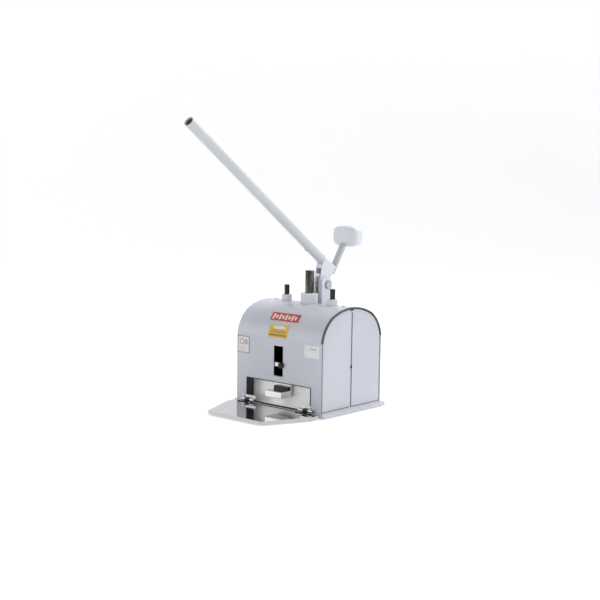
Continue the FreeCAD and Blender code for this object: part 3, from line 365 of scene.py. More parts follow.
@dataclass(frozen=True)
class Paint:
    """Sprayed and baked paint on steel.

    Below a given height it is black, as painted shade of the post, and the seam switch adds painted shade
    along the gap between the doors and in the finger hole.
    """

    name: str
    colour: Colour
    roughness: float = 0.32
    coat: float = 0.35
    wear: float = 0.25
    grime: float = 0.25
    peel: float = 1.0
    painted_seam_shade: bool = False
    painted_shade_below: float = 0.0

    def painted_seam_shade_mask(self, g: Graph, place: object) -> bpy.types.NodeSocket:
        """Masks the painted shade of the line between the doors and of the finger hole at its middle.

        Args:
            g: the material's graph.
            place: the point on the surface.

        Returns:
            The mask's socket.
        """
        across = g.maths("SUBTRACT", g.part(place, Axis.Y), SEAM_Y)
        above = g.maths("SUBTRACT", g.part(place, Axis.Z), HOLE_Z)
        line = g.ramp(g.maths("ABSOLUTE", across), *SEAM_SHADE_HALF)
        far = g.maths("SQRT", g.maths("MULTIPLY_ADD", across, across, g.maths("MULTIPLY", above, above)))
        return g.maths("MAXIMUM", line, g.ramp(far, *HOLE_SHADE_RADIUS))

    def build(self) -> bpy.types.Material:
        """Builds the material.

        Returns:
            The material.
        """
        s = Shader(self.name)
        g = s.g
        cloud = g.ramp(g.noise(s.place, 5.0, detail=2.0), 0.35, 0.65)
        colour = g.mix(cloud, shade(self.colour, 0.94), shade(self.colour))
        dust = s.group("grime", Amount=self.grime, Scale=16.0, Height=0.12).outputs[0]
        colour = g.mix(dust, colour, DUST)
        worn = s.group("wear", Amount=self.wear, Width=0.0009).outputs[0]
        colour = g.mix(worn, colour, BARE_STEEL)
        # Painted shade: the gap between the doors and the finger hole are darkened in the colour.
        if self.painted_seam_shade:
            colour = g.mix(self.painted_seam_shade_mask(g, s.place), colour, PAINTED_GAP_SHADE)
        # Painted shade: below the given height the colour is black, for the post where it shows through the
        # doors.
        if self.painted_shade_below:
            low = g.ramp(g.part(s.place, Axis.Z), self.painted_shade_below + MM, self.painted_shade_below)
            colour = g.mix(low, colour, PAINTED_POST_SHADE)
        g.feed(s.bsdf, "Base Color", colour)
        spots = g.noise(s.place, 40.0, detail=4.0)
        rough = g.ramp(spots, 0.3, 0.7, self.roughness - 0.05, self.roughness + 0.07)
        g.feed(s.bsdf, "Roughness", g.maths("MULTIPLY_ADD", dust, 0.3, rough))
        s.bsdf.inputs["Coat Weight"].default_value = self.coat
        s.bsdf.inputs["Coat Roughness"].default_value = 0.12
        s.bump(s.group("peel", Depth=self.peel).outputs[0], strength=0.06, distance=0.0004)
        return s.material


@dataclass(frozen=True)
class Metal:
    """Bare metal, from mirror polish to ground or blackened.

    It is lined along one axis: lines and long_lines are how many there are to a metre across and along it,
    brush is how rough they are and depth how dark.
    """

    name: str
    colour: Colour
    roughness: float
    along: Axis = Axis.X
    brush: float = 0.3
    stain: float = 0.2
    wear: float = 0.2
    bright: Colour = (0.75, 0.75, 0.76)
    lines: float = 900.0
    long_lines: float = 9.0
    depth: float = 0.0
    metal: float = 1.0

    def build(self) -> bpy.types.Material:
        """Builds the material.

        Returns:
            The material.
        """
        s = Shader(self.name)
        g = s.g
        lines = [self.lines] * 3
        lines[self.along.value] = self.long_lines
        brushed = s.group("brushing", Along_X=lines[0], Along_Y=lines[1], Along_Z=lines[2])
        fall = max(self.depth, 0.35 * self.brush)
        colour = g.mix(brushed.outputs["Streak"], shade(self.colour, 1 - fall), shade(self.colour))
        film = s.group("grime", Amount=self.stain, Scale=22.0, Height=0.5).outputs[0]
        colour = g.mix(film, colour, shade(self.colour, 0.55))
        worn = s.group("wear", Amount=self.wear, Width=0.0007).outputs[0]
        g.feed(s.bsdf, "Base Color", g.mix(worn, colour, shade(self.bright)))
        s.bsdf.inputs["Metallic"].default_value = self.metal
        rough = g.maths("MULTIPLY_ADD", brushed.outputs["Streak"], 0.12 * self.brush, self.roughness)
        smear = g.ramp(g.noise(s.place, 30.0, detail=5.0), 0.4, 0.75, 0.0, 0.10)
        rough = g.maths("ADD", rough, g.maths("MULTIPLY", smear, 0.3 + self.brush))
        g.feed(s.bsdf, "Roughness", g.maths("MULTIPLY_ADD", film, 0.25, rough))
        s.bump(brushed.outputs["Height"], strength=0.12 * self.brush, distance=0.0002)
        return s.material


@dataclass(frozen=True)
class Rubber:
    """Moulded black rubber."""

    name: str = "moulded_rubber"
    colour: Colour = (0.022, 0.022, 0.023)

    def build(self) -> bpy.types.Material:
        """Builds the material.

        Returns:
            The material.
        """
        s = Shader(self.name)
        g = s.g
        dust = s.group("grime", Amount=0.6, Scale=40.0, Height=0.5).outputs[0]
        g.feed(s.bsdf, "Base Color", g.mix(dust, shade(self.colour), RUBBER_DUST))
        g.feed(s.bsdf, "Roughness", g.ramp(g.noise(s.place, 300.0), 0.3, 0.7, 0.48, 0.66))
        s.bump(g.noise(s.place, 1400.0, detail=2.0), strength=0.15, distance=0.0003)
        return s.material


@dataclass(frozen=True)
class Print:
    """A glossy film label with one plain colour and slightly scuffed ink."""

    name: str
    colour: Colour
    roughness: float = 0.3
    scuff: float = 0.25

    def build(self) -> bpy.types.Material:
        """Builds the material.

        Returns:
            The material.
        """
        s = Shader(self.name)
        g = s.g
        rubbed = g.ramp(g.noise(s.place, 220.0, detail=5.0, roughness=0.7), 0.6, 0.75)
        rubbed = g.maths("MULTIPLY", rubbed, self.scuff)
        patches = g.ramp(g.noise(s.place, 60.0, detail=2.0), 0.3, 0.7)
        ink = g.mix(patches, shade(self.colour, 0.93), shade(self.colour))
        g.feed(s.bsdf, "Base Color", g.mix(rubbed, ink, shade(self.colour, 0.6, 0.35)))
        spots = g.noise(s.place, 90.0)
        g.feed(s.bsdf, "Roughness", g.ramp(spots, 0.3, 0.7, self.roughness, self.roughness + 0.15))
        s.bump(g.noise(s.place, 500.0, detail=2.0), strength=0.05, distance=0.0002)
        return s.material


Finish = Paint | Metal | Rubber | Print


# --- finishes ------------------------------------------------------------------------------
WHITE = Paint("white_enamel", (0.450, 0.460, 0.515))
# The doors' paint carries painted shade along the gap between them and in the finger hole.
DOOR_WHITE = Paint("door_enamel", (0.440, 0.452, 0.510), roughness=0.36, grime=0.35, painted_seam_shade=True)
# The post is black below 0.28 m as painted shade, seen through the gap between the doors and the finger
# hole.
POST_PAINT = Paint("post_enamel", (0.440, 0.452, 0.510), painted_shade_below=0.28)
CAST_WHITE = Paint("casting_enamel", (0.60, 0.615, 0.66), roughness=0.42, wear=0.45, peel=3.0)
HANDLE_WHITE = Paint("handle_enamel", (0.46, 0.472, 0.51), roughness=0.34, wear=0.35)
BLACK = Paint("black_enamel", (0.013, 0.013, 0.015), roughness=0.45, coat=0.1, wear=0.3)
MIRROR = Metal("mirror_steel", (0.46, 0.465, 0.47), 0.045, Axis.X, brush=0.05, stain=0.12, wear=0.1)
BACKDROP = Metal("satin_back_plate", (0.97, 0.965, 0.955), 0.34, Axis.X, brush=0.2, stain=0.1, wear=0.1,
                 metal=0.22)
FLOOR_POLISH = Metal("polished_floor", (0.80, 0.80, 0.80), 0.05, Axis.X, brush=0.08, stain=0.15, wear=0.1)
HEAD_POLISH = Metal("polished_head", (0.70, 0.70, 0.70), 0.16, Axis.X, brush=0.15, stain=0.2, wear=0.15)
SATIN = Metal("satin_steel", (0.60, 0.61, 0.63), 0.24, Axis.X, brush=0.5)
BRIGHT = Metal("ground_steel", (0.70, 0.71, 0.72), 0.36, Axis.Z, brush=0.5, stain=0.35)
RACK_STEEL = Metal("rack_steel", (0.70, 0.72, 0.74), 0.42, Axis.Y, brush=0.4, stain=0.5)
TURNED = Metal("turned_steel", (0.50, 0.51, 0.53), 0.26, Axis.X, brush=0.6)
CAP_STEEL = Metal("cap_steel", (0.30, 0.31, 0.34), 0.30, Axis.Z, brush=0.4)
DARK = Metal("oiled_black_steel", (0.20, 0.19, 0.175), 0.20, Axis.Z, brush=0.9, stain=0.3, wear=0.35,
             bright=(0.34, 0.32, 0.29), lines=150.0, depth=0.9)
GUIDE_BLACK = Metal("guide_black", (0.040, 0.038, 0.037), 0.34, Axis.Z, brush=0.4, wear=0.2,
                    bright=(0.2, 0.2, 0.2))
ZINC = Metal("zinc_plate", (0.52, 0.53, 0.55), 0.28, Axis.Y, brush=0.3)
BRONZE = Metal("bearing_bronze", (0.42, 0.27, 0.10), 0.32, Axis.Z, brush=0.4)
RUBBER = Rubber()
TRIM_RUBBER = Rubber("trim_rubber", (0.060, 0.062, 0.066))
RED_FILM = Print("red_film", (0.44, 0.045, 0.040))
YELLOW_FILM = Print("yellow_film", (0.56, 0.38, 0.050))
OCHRE_FILM = Print("ochre_film", (0.30, 0.16, 0.022), roughness=0.4)
PALE_FILM = Print("pale_film", (0.60, 0.57, 0.50))
PAPER_FILM = Print("paper_film", (0.60, 0.59, 0.60), roughness=0.45)
FAINT_FILM = Print("faint_film", (0.62, 0.62, 0.63), roughness=0.45)
BROWN_FILM = Print("brown_film", (0.30, 0.17, 0.17), roughness=0.4)
ROSE_FILM = Print("rose_film", (0.50, 0.38, 0.38), roughness=0.4)
GREY_FILM = Print("grey_film", (0.34, 0.34, 0.38), roughness=0.4)

CAD_FINISH = {
    WHITE: ("housing_wrapper", "left_end_panel", "base_pan"),
    POST_PAINT: ("door_post",),
    DOOR_WHITE: ("door_front", "door_rear"),
    CAST_WHITE: ("ram_collar", "guide_collars", "bracket_cheek_left", "bracket_cheek_right", "lever_hub",
                 "counterweight"),
    HANDLE_WHITE: ("handle_tube", "handle_spigot", "counterweight_arm", "cover_screws"),
    BLACK: ("side_plate_left", "side_plate_right", "top_bridge", "head_bracket"),
    MIRROR: ("tray",),
    FLOOR_POLISH: ("floor_plate",),
    HEAD_POLISH: ("press_head",),
    BACKDROP: ("back_plate",),
    SATIN: ("wall_hinge_leaves", "head_carrier", "slot_bar", "end_panel_spacers", "cover_spacers",
            "wrapper_angle"),
    BRIGHT: ("crosshead", "head_rods"),
    RACK_STEEL: ("rack_bar", "pinion_gear"),
    TURNED: ("pinion_shaft", "pinion_key", "thrust_washers"),
    CAP_STEEL: ("shaft_caps",),
    DARK: ("ram_rod",),
    GUIDE_BLACK: ("guide_rods", "head_clamp", "tray_hinge_leaves", "thumb_screw", "hinge_pins"),
    ZINC: ("handle_screw", "frame_screws", "bracket_screws", "back_plate_screws",
           "end_panel_screws", "head_screws", "crosshead_nuts", "wall_hinge_screws", "tray_hinge_screws"),
    BRONZE: ("ram_bush", "guide_bushes", "shaft_bushes"),
    RUBBER: ("rubber_feet",),
    TRIM_RUBBER: ("arch_trim",),
}
BUILT: dict[str, bpy.types.Material] = {}


def material_of(finish: Finish) -> bpy.types.Material:
    """Gives a finish's material, building it the first time.

    Args:
        finish: the finish.

    Returns:
        Its material.
    """
    if finish.name not in BUILT:
        BUILT[finish.name] = finish.build()
    return BUILT[finish.name]


def dress_cad() -> None:
    """Gives every CAD node its finish."""
    for finish, names in CAD_FINISH.items():
        for name in names:
            node = NODES[name]
            node.data.materials.clear()
            node.data.materials.append(material_of(finish))
    left = set(NODES) - {n for names in CAD_FINISH.values() for n in names}
    LOG.info("finished %d nodes, plain: %s", len(NODES) - len(left), sorted(left))


# --- mesh helpers ----------------------------------------------------------------------------
def placed(name: str, data: bpy.types.ID) -> bpy.types.Object:
    """Makes an object and adds it to the scene.

    Args:
        name: the object's name.
        data: its mesh, lamp or camera.

    Returns:
        The object.
    """
    made = bpy.data.objects.new(name, data)
    bpy.context.scene.collection.objects.link(made)
    return made


def mesh_piece(name: str, verts: list[Vector], faces: list[tuple[int, ...]], finish: Finish, body: str,
               smooth: bool = False) -> bpy.types.Object:
    """Makes a mesh object that rides on a body.

    Args:
        name: the piece's name.
        verts: its points, in metres in the row frame.
        faces: its faces.
        finish: its finish.
        body: the CAD body that it rides on.
        smooth: whether its faces are shaded smooth.

    Returns:
        The object.
    """
    mesh = bpy.data.meshes.new(name)
    mesh.from_pydata([tuple(v) for v in verts], [], faces)
    mesh.validate()
    shaped = bmesh.new()
    shaped.from_mesh(mesh)
    bmesh.ops.remove_doubles(shaped, verts=shaped.verts, dist=1e-7)
    bmesh.ops.recalc_face_normals(shaped, faces=shaped.faces)
    shaped.to_mesh(mesh)
    shaped.free()
    for polygon in mesh.polygons:
        polygon.use_smooth = smooth
    piece = placed(name, mesh)
    mesh.materials.append(material_of(finish))
    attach(piece, body)
    LOG.info("%s: %d faces", name, len(mesh.polygons))
    return piece


@dataclass
class Cover:
    """The outer face of the arched cover: upright walls with a round shoulder above each of them."""

    shoulder_rise: float = 74 * MM
    shoulder_in: float = 48 * MM
    bulge: float = 9.5 * MM

    def __post_init__(self) -> None:
        """Works out the shoulder's arc, which stands out from its chord by the bulge."""
        low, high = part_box("housing_wrapper")
        self.half = high.y
        self.spring = low.z + WALL_RISE
        chord = math.hypot(self.shoulder_rise, self.shoulder_in)
        self.radius = chord ** 2 / (8 * self.bulge) + self.bulge / 2
        inward = (self.radius - self.bulge) / chord
        self.centre_y = self.half - self.shoulder_in / 2 - inward * self.shoulder_rise
        self.centre_z = self.spring + self.shoulder_rise / 2 - inward * self.shoulder_in

    def front_y(self, z: float) -> float:
        """Y of the cover's front face at a height.

        Args:
            z: the height.

        Returns:
            The Y coordinate, below zero.
        """
        if z <= self.spring:
            return -self.half
        return -(self.centre_y + math.sqrt(max(self.radius ** 2 - (z - self.centre_z) ** 2, 0.0)))


@dataclass
class Label:
    """A thin printed film on the front of the cover: one plain shape with no lettering."""

    name: str
    corners: Outline
    finish: Print
    lift: float = 0.35 * MM
    thickness: float = 0.25 * MM
    tuck: float = 0.1 * MM
    rounding: float = 2.0 * MM
    round_steps: int = 5
    steps: int = 14

    def outline(self) -> list[tuple[float, float]]:
        """Gives the outline as points in X and Z, with rounded corners.

        Returns:
            The points in order.
        """
        if not self.rounding:
            return list(self.corners)
        points = []
        count = len(self.corners)
        for i, corner in enumerate(self.corners):
            here = Vector(corner)
            start = here + (Vector(self.corners[i - 1]) - here).normalized() * self.rounding
            end = here + (Vector(self.corners[(i + 1) % count]) - here).normalized() * self.rounding
            for k in range(self.round_steps + 1):
                t = k / self.round_steps
                points.append(tuple(start * (1 - t) ** 2 + here * 2 * t * (1 - t) + end * t ** 2))
        return points

    def build(self, cover: Cover) -> bpy.types.Object:
        """Builds the film as strips that follow the cover.

        Args:
            cover: the cover's shape.

        Returns:
            The label.
        """
        outline = self.outline()
        flat = bmesh.new()
        flat.faces.new([flat.verts.new((x, 0, z)) for x, z in outline])
        low, high = min(z for _, z in outline), max(z for _, z in outline)
        for k in range(1, self.steps):
            level = (0, 0, low + (high - low) * k / self.steps)
            geometry = flat.verts[:] + flat.edges[:] + flat.faces[:]
            bmesh.ops.bisect_plane(flat, geom=geometry, plane_co=level, plane_no=(0, 0, 1))
        flat.verts.index_update()
        places = [(v.co.x, cover.front_y(v.co.z) - self.lift, v.co.z) for v in flat.verts]
        front = [Vector((x, y - self.thickness, z)) for x, y, z in places]
        back = [Vector((x, y + self.tuck, z)) for x, y, z in places]
        shift = len(places)
        faces = []
        for face in flat.faces:
            loop = tuple(v.index for v in face.verts)
            faces += [loop, tuple(i + shift for i in reversed(loop))]
        for edge in flat.edges:
            if edge.is_boundary:
                a, b = (v.index for v in edge.verts)
                faces.append((a, b, b + shift, a + shift))
        flat.free()
        return mesh_piece(self.name, front + back, faces, self.finish, "housing")


def slanted(foot: tuple[float, float], top: tuple[float, float], low: float, high: float) -> Outline:
    """Gives the corners of a shape with a level foot and top, in metres from millimetres.

    Args:
        foot: left and right end of the foot.
        top: left and right end of the top.
        low: the foot's height.
        high: the top's height.

    Returns:
        The corners.
    """
    corners = ((foot[0], low), (foot[1], low), (top[1], high), (top[0], high))
    return tuple((x * MM, z * MM) for x, z in corners)


def rectangle(box: Box, inset: float = 0.0) -> Outline:
    """Gives a rectangle's corners in metres from millimetres.

    Args:
        box: left, right, lower and upper side.
        inset: how far the corners move inwards.

    Returns:
        The corners.
    """
    left, right, low, high = box
    ends = (left + inset, right - inset)
    return slanted(ends, ends, low + inset, high - inset)


def oval(x: float, z: float, half_w: float, half_h: float, count: int = 40) -> Outline:
    """Gives an ellipse's points in metres from millimetres.

    Args:
        x: its centre across.
        z: its centre's height.
        half_w: half its width.
        half_h: half its height.
        count: how many points.

    Returns:
        The points.
    """
    turn = (2 * math.pi * k / count for k in range(count))
    return tuple(((x + half_w * math.cos(a)) * MM, (z + half_h * math.sin(a)) * MM) for a in turn)


@dataclass
class Labels:
    """Blank labels on the front, with sizes and places in millimetres from the press's origin."""

    cover: Cover = field(default_factory=Cover)
    line_rounding: float = 0.8 * MM
    red_foot: tuple[float, float] = (-55, 59)
    red_top: tuple[float, float] = (-61, 56)
    red_heights: tuple[float, float] = (275, 296.3)
    bar_count: int = 8
    bar_first: float = -49.5
    bar_pitch: float = 12.6
    bar_width: float = 7.6
    bar_lean: float = 1.4
    tall_bar: tuple[float, float] = (278.6, 292.6)
    short_bar: tuple[float, float] = (281.2, 290.0)
    yellow_box: Box = (-44.5, 33.5, 225.5, 264.0)
    yellow_patch: Oval = (-4.5, 256, 26, 5.2)
    yellow_rules: tuple[Box, ...] = ((-36, 25, 246.0, 248.2), (-38, 27, 240.4, 243.0),
                                     (-41, 29, 229.6, 236.6))
    framed_box: Box = (-171, -121.5, 164, 217)
    frame_edge: float = 2.6
    mark: Oval = (-153, 199, 9.5, 9.0)
    mark_edge: float = 2.5
    framed_bar: Box = (-141, -129, 190.5, 207.5)
    rule_count: int = 4
    rule_foot: float = 170.0
    rule_pitch: float = 4.0
    rule_height: float = 1.4
    faint_box: Box = (106, 164, 179, 217)
    faint_line: Box = (127, 152, 204, 207.5)

    def red(self) -> list[Label]:
        """Gives the red label, with a row of leaning pale bars, tall and short in turn.

        Returns:
            Its layers.
        """
        shape = slanted(self.red_foot, self.red_top, *self.red_heights)
        layers = [Label("red_label", shape, RED_FILM, rounding=2.5 * MM)]
        for k in range(self.bar_count):
            left = self.bar_first + self.bar_pitch * k
            right = left + self.bar_width
            low, high = self.short_bar if k % 2 else self.tall_bar
            shape = slanted((left, right), (left - self.bar_lean, right - self.bar_lean), low, high)
            layers.append(Label(f"red_label_stripe_{k}", shape, PALE_FILM, OVERPRINT,
                                rounding=self.line_rounding, steps=4))
        return layers

    def yellow(self) -> list[Label]:
        """Gives the yellow label, with a pale oval above three ochre rules.

        Returns:
            Its layers.
        """
        layers = [Label("yellow_label", rectangle(self.yellow_box), YELLOW_FILM, rounding=2.5 * MM),
                  Label("yellow_label_patch", oval(*self.yellow_patch), PALE_FILM, OVERPRINT, rounding=0.0)]
        for k, box in enumerate(self.yellow_rules):
            layers.append(Label(f"yellow_label_rule_{k}", rectangle(box), OCHRE_FILM, OVERPRINT,
                                rounding=self.line_rounding, steps=3))
        return layers

    def framed(self) -> list[Label]:
        """Gives the framed label, with a ring and a bar above four rules.

        Returns:
            Its layers.
        """
        x, z, half_w, half_h = self.mark
        inner = oval(x, z, half_w - self.mark_edge, half_h - self.mark_edge)
        layers = [
            Label("framed_label", rectangle(self.framed_box), BROWN_FILM),
            Label("framed_label_field", rectangle(self.framed_box, self.frame_edge), PAPER_FILM, OVERPRINT,
                  rounding=1.5 * MM),
            Label("framed_label_mark", oval(*self.mark), BROWN_FILM, SECOND_PRINT, rounding=0.0),
            Label("framed_label_mark_field", inner, PAPER_FILM, THIRD_PRINT, rounding=0.0),
            Label("framed_label_bar", rectangle(self.framed_bar), GREY_FILM, SECOND_PRINT,
                  rounding=3 * MM)]
        for k in range(self.rule_count):
            low = self.rule_foot + self.rule_pitch * k
            box = (-163, -136 if k % 2 else -131, low, low + self.rule_height)
            layers.append(Label(f"framed_label_rule_{k}", rectangle(box), ROSE_FILM, SECOND_PRINT,
                                rounding=self.line_rounding / 2, steps=2))
        return layers

    def faint(self) -> list[Label]:
        """Gives the faint label, with one grey line.

        Returns:
            Its layers.
        """
        return [Label("faint_label", rectangle(self.faint_box), FAINT_FILM),
                Label("faint_label_line", rectangle(self.faint_line), GREY_FILM, OVERPRINT,
                      rounding=self.line_rounding, steps=2)]

    def build(self) -> None:
        """Builds every label."""
        for layer in self.red() + self.yellow() + self.framed() + self.faint():
            layer.build(self.cover)


# --- repeated and path-following details -----------------------------------------------------
class Pattern:
    """A Geometry Nodes tree that turns a seed mesh into a finished detail."""

    def __init__(self, name: str, inputs: dict[str, object]) -> None:
        """Starts the tree.

        Args:
            name: the tree's name.
            inputs: input names with their defaults, as whole numbers or decimals.
        """
        self.tree = bpy.data.node_groups.new(name, "GeometryNodeTree")
        face = self.tree.interface
        face.new_socket(name="Geometry", in_out="INPUT", socket_type="NodeSocketGeometry")
        for key, value in inputs.items():
            kind = "NodeSocketInt" if isinstance(value, int) else "NodeSocketFloat"
            face.new_socket(name=key, in_out="INPUT", socket_type=kind).default_value = value
        face.new_socket(name="Material", in_out="INPUT", socket_type="NodeSocketMaterial")
        face.new_socket(name="Geometry", in_out="OUTPUT", socket_type="NodeSocketGeometry")
        self.g = Graph(self.tree)
        self.source = self.tree.nodes.new("NodeGroupInput")
        self.sink = self.tree.nodes.new("NodeGroupOutput")

    def socket(self, key: str) -> bpy.types.NodeSocket:
        """Gives one of the tree's inputs."""
        return self.source.outputs[key]

    def close(self, geometry: bpy.types.NodeSocket, smooth: bool) -> None:
        """Ends the tree with realized instances and the material.

        Args:
            geometry: the geometry to end with.
            smooth: whether its faces are shaded smooth.
        """
        real = self.g.add("GeometryNodeRealizeInstances", Geometry=geometry).outputs[0]
        shaded = self.g.add("GeometryNodeSetShadeSmooth", Geometry=real, Shade_Smooth=smooth).outputs[0]
        done = self.g.add("GeometryNodeSetMaterial", Geometry=shaded, Material=self.socket("Material"))
        self.g.feed(self.sink, 0, done.outputs[0])

    def bake(self, name: str, seed: bpy.types.Mesh, body: str, slot: str, finish: Finish,
             **values: float) -> None:
        """Turns a seed into a plain mesh piece that rides on a body.

        Args:
            name: the piece's name.
            seed: the seed mesh.
            body: the CAD body that it rides on.
            slot: the record's material slot; not used.
            finish: its finish.
            values: the tree's inputs.
        """
        holder = placed(name + "_seed", seed)
        modifier = holder.modifiers.new("pattern", "NODES")
        modifier.node_group = self.tree
        inputs = {**values, "Material": material_of(finish)}
        for item in self.tree.interface.items_tree:
            if item.in_out == "INPUT" and item.name in inputs:
                modifier[item.identifier] = inputs[item.name]
        graph = bpy.context.evaluated_depsgraph_get()
        mesh = bpy.data.meshes.new_from_object(holder.evaluated_get(graph))
        bpy.data.objects.remove(holder)
        mesh.name = name
        piece = placed(name, mesh)
        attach(piece, body)
        LOG.info("%s: %d faces", name, len(mesh.polygons))


def strip_pattern() -> Pattern:
    """Builds the tree for a round strip that follows the seed's edges.

    Returns:
        The pattern.
    """
    p = Pattern("edge_strip", {"Radius": 0.001, "Sides": 8})
    path = p.g.add("GeometryNodeMeshToCurve", Mesh=p.socket("Geometry")).outputs[0]
    ring = p.g.add("GeometryNodeCurvePrimitiveCircle", Resolution=p.socket("Sides"),
                   Radius=p.socket("Radius")).outputs[0]
    strip = p.g.add("GeometryNodeCurveToMesh", Curve=path, Profile_Curve=ring, Fill_Caps=True)
    p.close(strip.outputs[0], True)
    return p


def weld_pattern() -> Pattern:
    """Builds the tree for a weld: overlapping ripples along the seed's edges.

    Returns:
        The pattern.
    """
    p = Pattern("weld_bead", {"Radius": 0.0018, "Spacing": 0.0013, "Seed": 3})
    path = p.g.add("GeometryNodeMeshToCurve", Mesh=p.socket("Geometry")).outputs[0]
    even = p.g.tree.nodes.new("GeometryNodeResampleCurve")
    even.mode = "LENGTH"
    p.g.feed(even, "Curve", path)
    p.g.feed(even, "Length", p.socket("Spacing"))
    ball = p.g.add("GeometryNodeMeshIcoSphere", Radius=p.socket("Radius"), Subdivisions=2)
    size = p.g.tree.nodes.new("FunctionNodeRandomValue")
    size.data_type = "FLOAT"
    p.g.feed(size, 2, 0.85)
    p.g.feed(size, 3, 1.12)
    p.g.feed(size, "Seed", p.socket("Seed"))
    placed = p.g.add("GeometryNodeInstanceOnPoints", Points=even.outputs[0], Instance=ball.outputs[0],
                     Scale=size.outputs[1])
    p.close(placed.outputs[0], True)
    return p


def stud_pattern() -> Pattern:
    """Builds the tree for short prisms that stand on the seed's points along its outward attribute.

    Returns:
        The pattern.
    """
    p = Pattern("studs", {"Radius": 0.001, "Depth": 0.001, "Sides": 6})
    prism = p.g.add("GeometryNodeMeshCylinder", Vertices=p.socket("Sides"), Radius=p.socket("Radius"),
                    Depth=p.socket("Depth"))
    outward = p.g.tree.nodes.new("GeometryNodeInputNamedAttribute")
    outward.data_type = "FLOAT_VECTOR"
    outward.inputs["Name"].default_value = "outward"
    turn = p.g.tree.nodes.new("FunctionNodeAlignRotationToVector")
    turn.axis = "Z"
    p.g.feed(turn, "Vector", outward.outputs["Attribute"])
    placed = p.g.add("GeometryNodeInstanceOnPoints", Points=p.socket("Geometry"), Instance=prism.outputs[0],
                     Rotation=turn.outputs[0])
    p.close(placed.outputs[0], False)
    return p


def path_seed(points: list[Point], closed: bool = False) -> bpy.types.Mesh:
    """Makes a seed of edges along points.

    Args:
        points: the points, in metres.
        closed: whether the last joins the first.

    Returns:
        The seed mesh.
    """
    count = len(points)
    edges = [(i, i + 1) for i in range(count - 1)] + ([(count - 1, 0)] if closed else [])
    mesh = bpy.data.meshes.new("seed")
    mesh.from_pydata([tuple(p) for p in points], edges, [])
    return mesh


def point_seed(places: list[tuple[Vector, Vector]]) -> bpy.types.Mesh:
    """Makes a seed of points with outward directions.

    Args:
        places: a point and a direction for each.

    Returns:
        The seed mesh.
    """
    mesh = bpy.data.meshes.new("seed")
    mesh.from_pydata([tuple(p) for p, _ in places], [], [])
    outward = mesh.attributes.new("outward", "FLOAT_VECTOR", "POINT")
    for i, (_, way) in enumerate(places):
        outward.data[i].vector = way
    return mesh


def ring_points(centre: Vector, normal: Vector, radius: float, count: int = 48) -> list[Point]:
    """Gives points round a circle.

    Args:
        centre: the circle's centre.
        normal: its axis.
        radius: its radius.
        count: how many points.

    Returns:
        The points.
    """
    across = normal.orthogonal().normalized()
    up = normal.normalized().cross(across)
    turn = (2 * math.pi * k / count for k in range(count))
    return [tuple(centre + across * radius * math.cos(a) + up * radius * math.sin(a)) for a in turn]


def islands(node: str) -> list[tuple[Vector, Vector]]:
    """Finds the separate solids of a CAD node by joining its triangles at shared corners.

    Args:
        node: the node's name.

    Returns:
        Each solid's lowest and highest corner.
    """
    mesh = NODES[node].data
    keys = [tuple(round(c * 1e6) for c in v.co) for v in mesh.vertices]
    parent: dict[tuple[int, ...], tuple[int, ...]] = {k: k for k in keys}

    def root(k: tuple[int, ...]) -> tuple[int, ...]:
        """Follows the links to the group's first corner.

        Args:
            k: a corner's rounded place.

        Returns:
            The first corner's rounded place.
        """
        while parent[k] != k:
            parent[k] = parent[parent[k]]
            k = parent[k]
        return k

    for polygon in mesh.polygons:
        first = root(keys[polygon.vertices[0]])
        for index in polygon.vertices[1:]:
            parent[root(keys[index])] = first
    groups: dict[tuple[int, ...], list[Vector]] = {}
    for key, vertex in zip(keys, mesh.vertices):
        groups.setdefault(root(key), []).append(vertex.co)
    found = []
    for points in groups.values():
        found.append((Vector(min(p[i] for p in points) for i in range(3)),
                      Vector(max(p[i] for p in points) for i in range(3))))
    return sorted(found, key=lambda b: tuple(b[0]))


@dataclass
class ScrewSocketShades:
    """Dark hexagon prisms standing just proud of the heads of the visible screws, as painted shade in place
    of each head's socket recess.
    """

    pattern: Pattern
    radius: float = 1.9 * MM
    depth: float = 0.5 * MM
    proud: float = 0.12 * MM
    rows: tuple[tuple[str, str, tuple[int, int, int]], ...] = (
        ("cover_screws", "housing", (0, 0, 1)), ("back_plate_screws", "housing", (0, -1, 0)),
        ("wall_hinge_screws", "housing", (0, -1, 0)), ("tray_hinge_screws", "tray", (0, 0, 1)),
        ("end_panel_screws", "housing", (-1, 0, 0)))

    def build(self) -> None:
        """Builds the painted socket shade for each row of screws."""
        for node, body, way in self.rows:
            outward = Vector(way)
            places = []
            for low, high in islands(node):
                reach = Vector(abs(c) for c in (high - low)) / 2
                top = (low + high) / 2 + Vector(o * r for o, r in zip(outward, reach))
                places.append((top - outward * (self.depth / 2 - self.proud), outward))
            # Painted shade: each dark prism stands just proud of a head in place of its socket recess.
            self.pattern.bake(f"{node}_sockets", point_seed(places), body, "dark_steel", GUIDE_BLACK,
                              Radius=self.radius, Depth=self.depth, Sides=6)


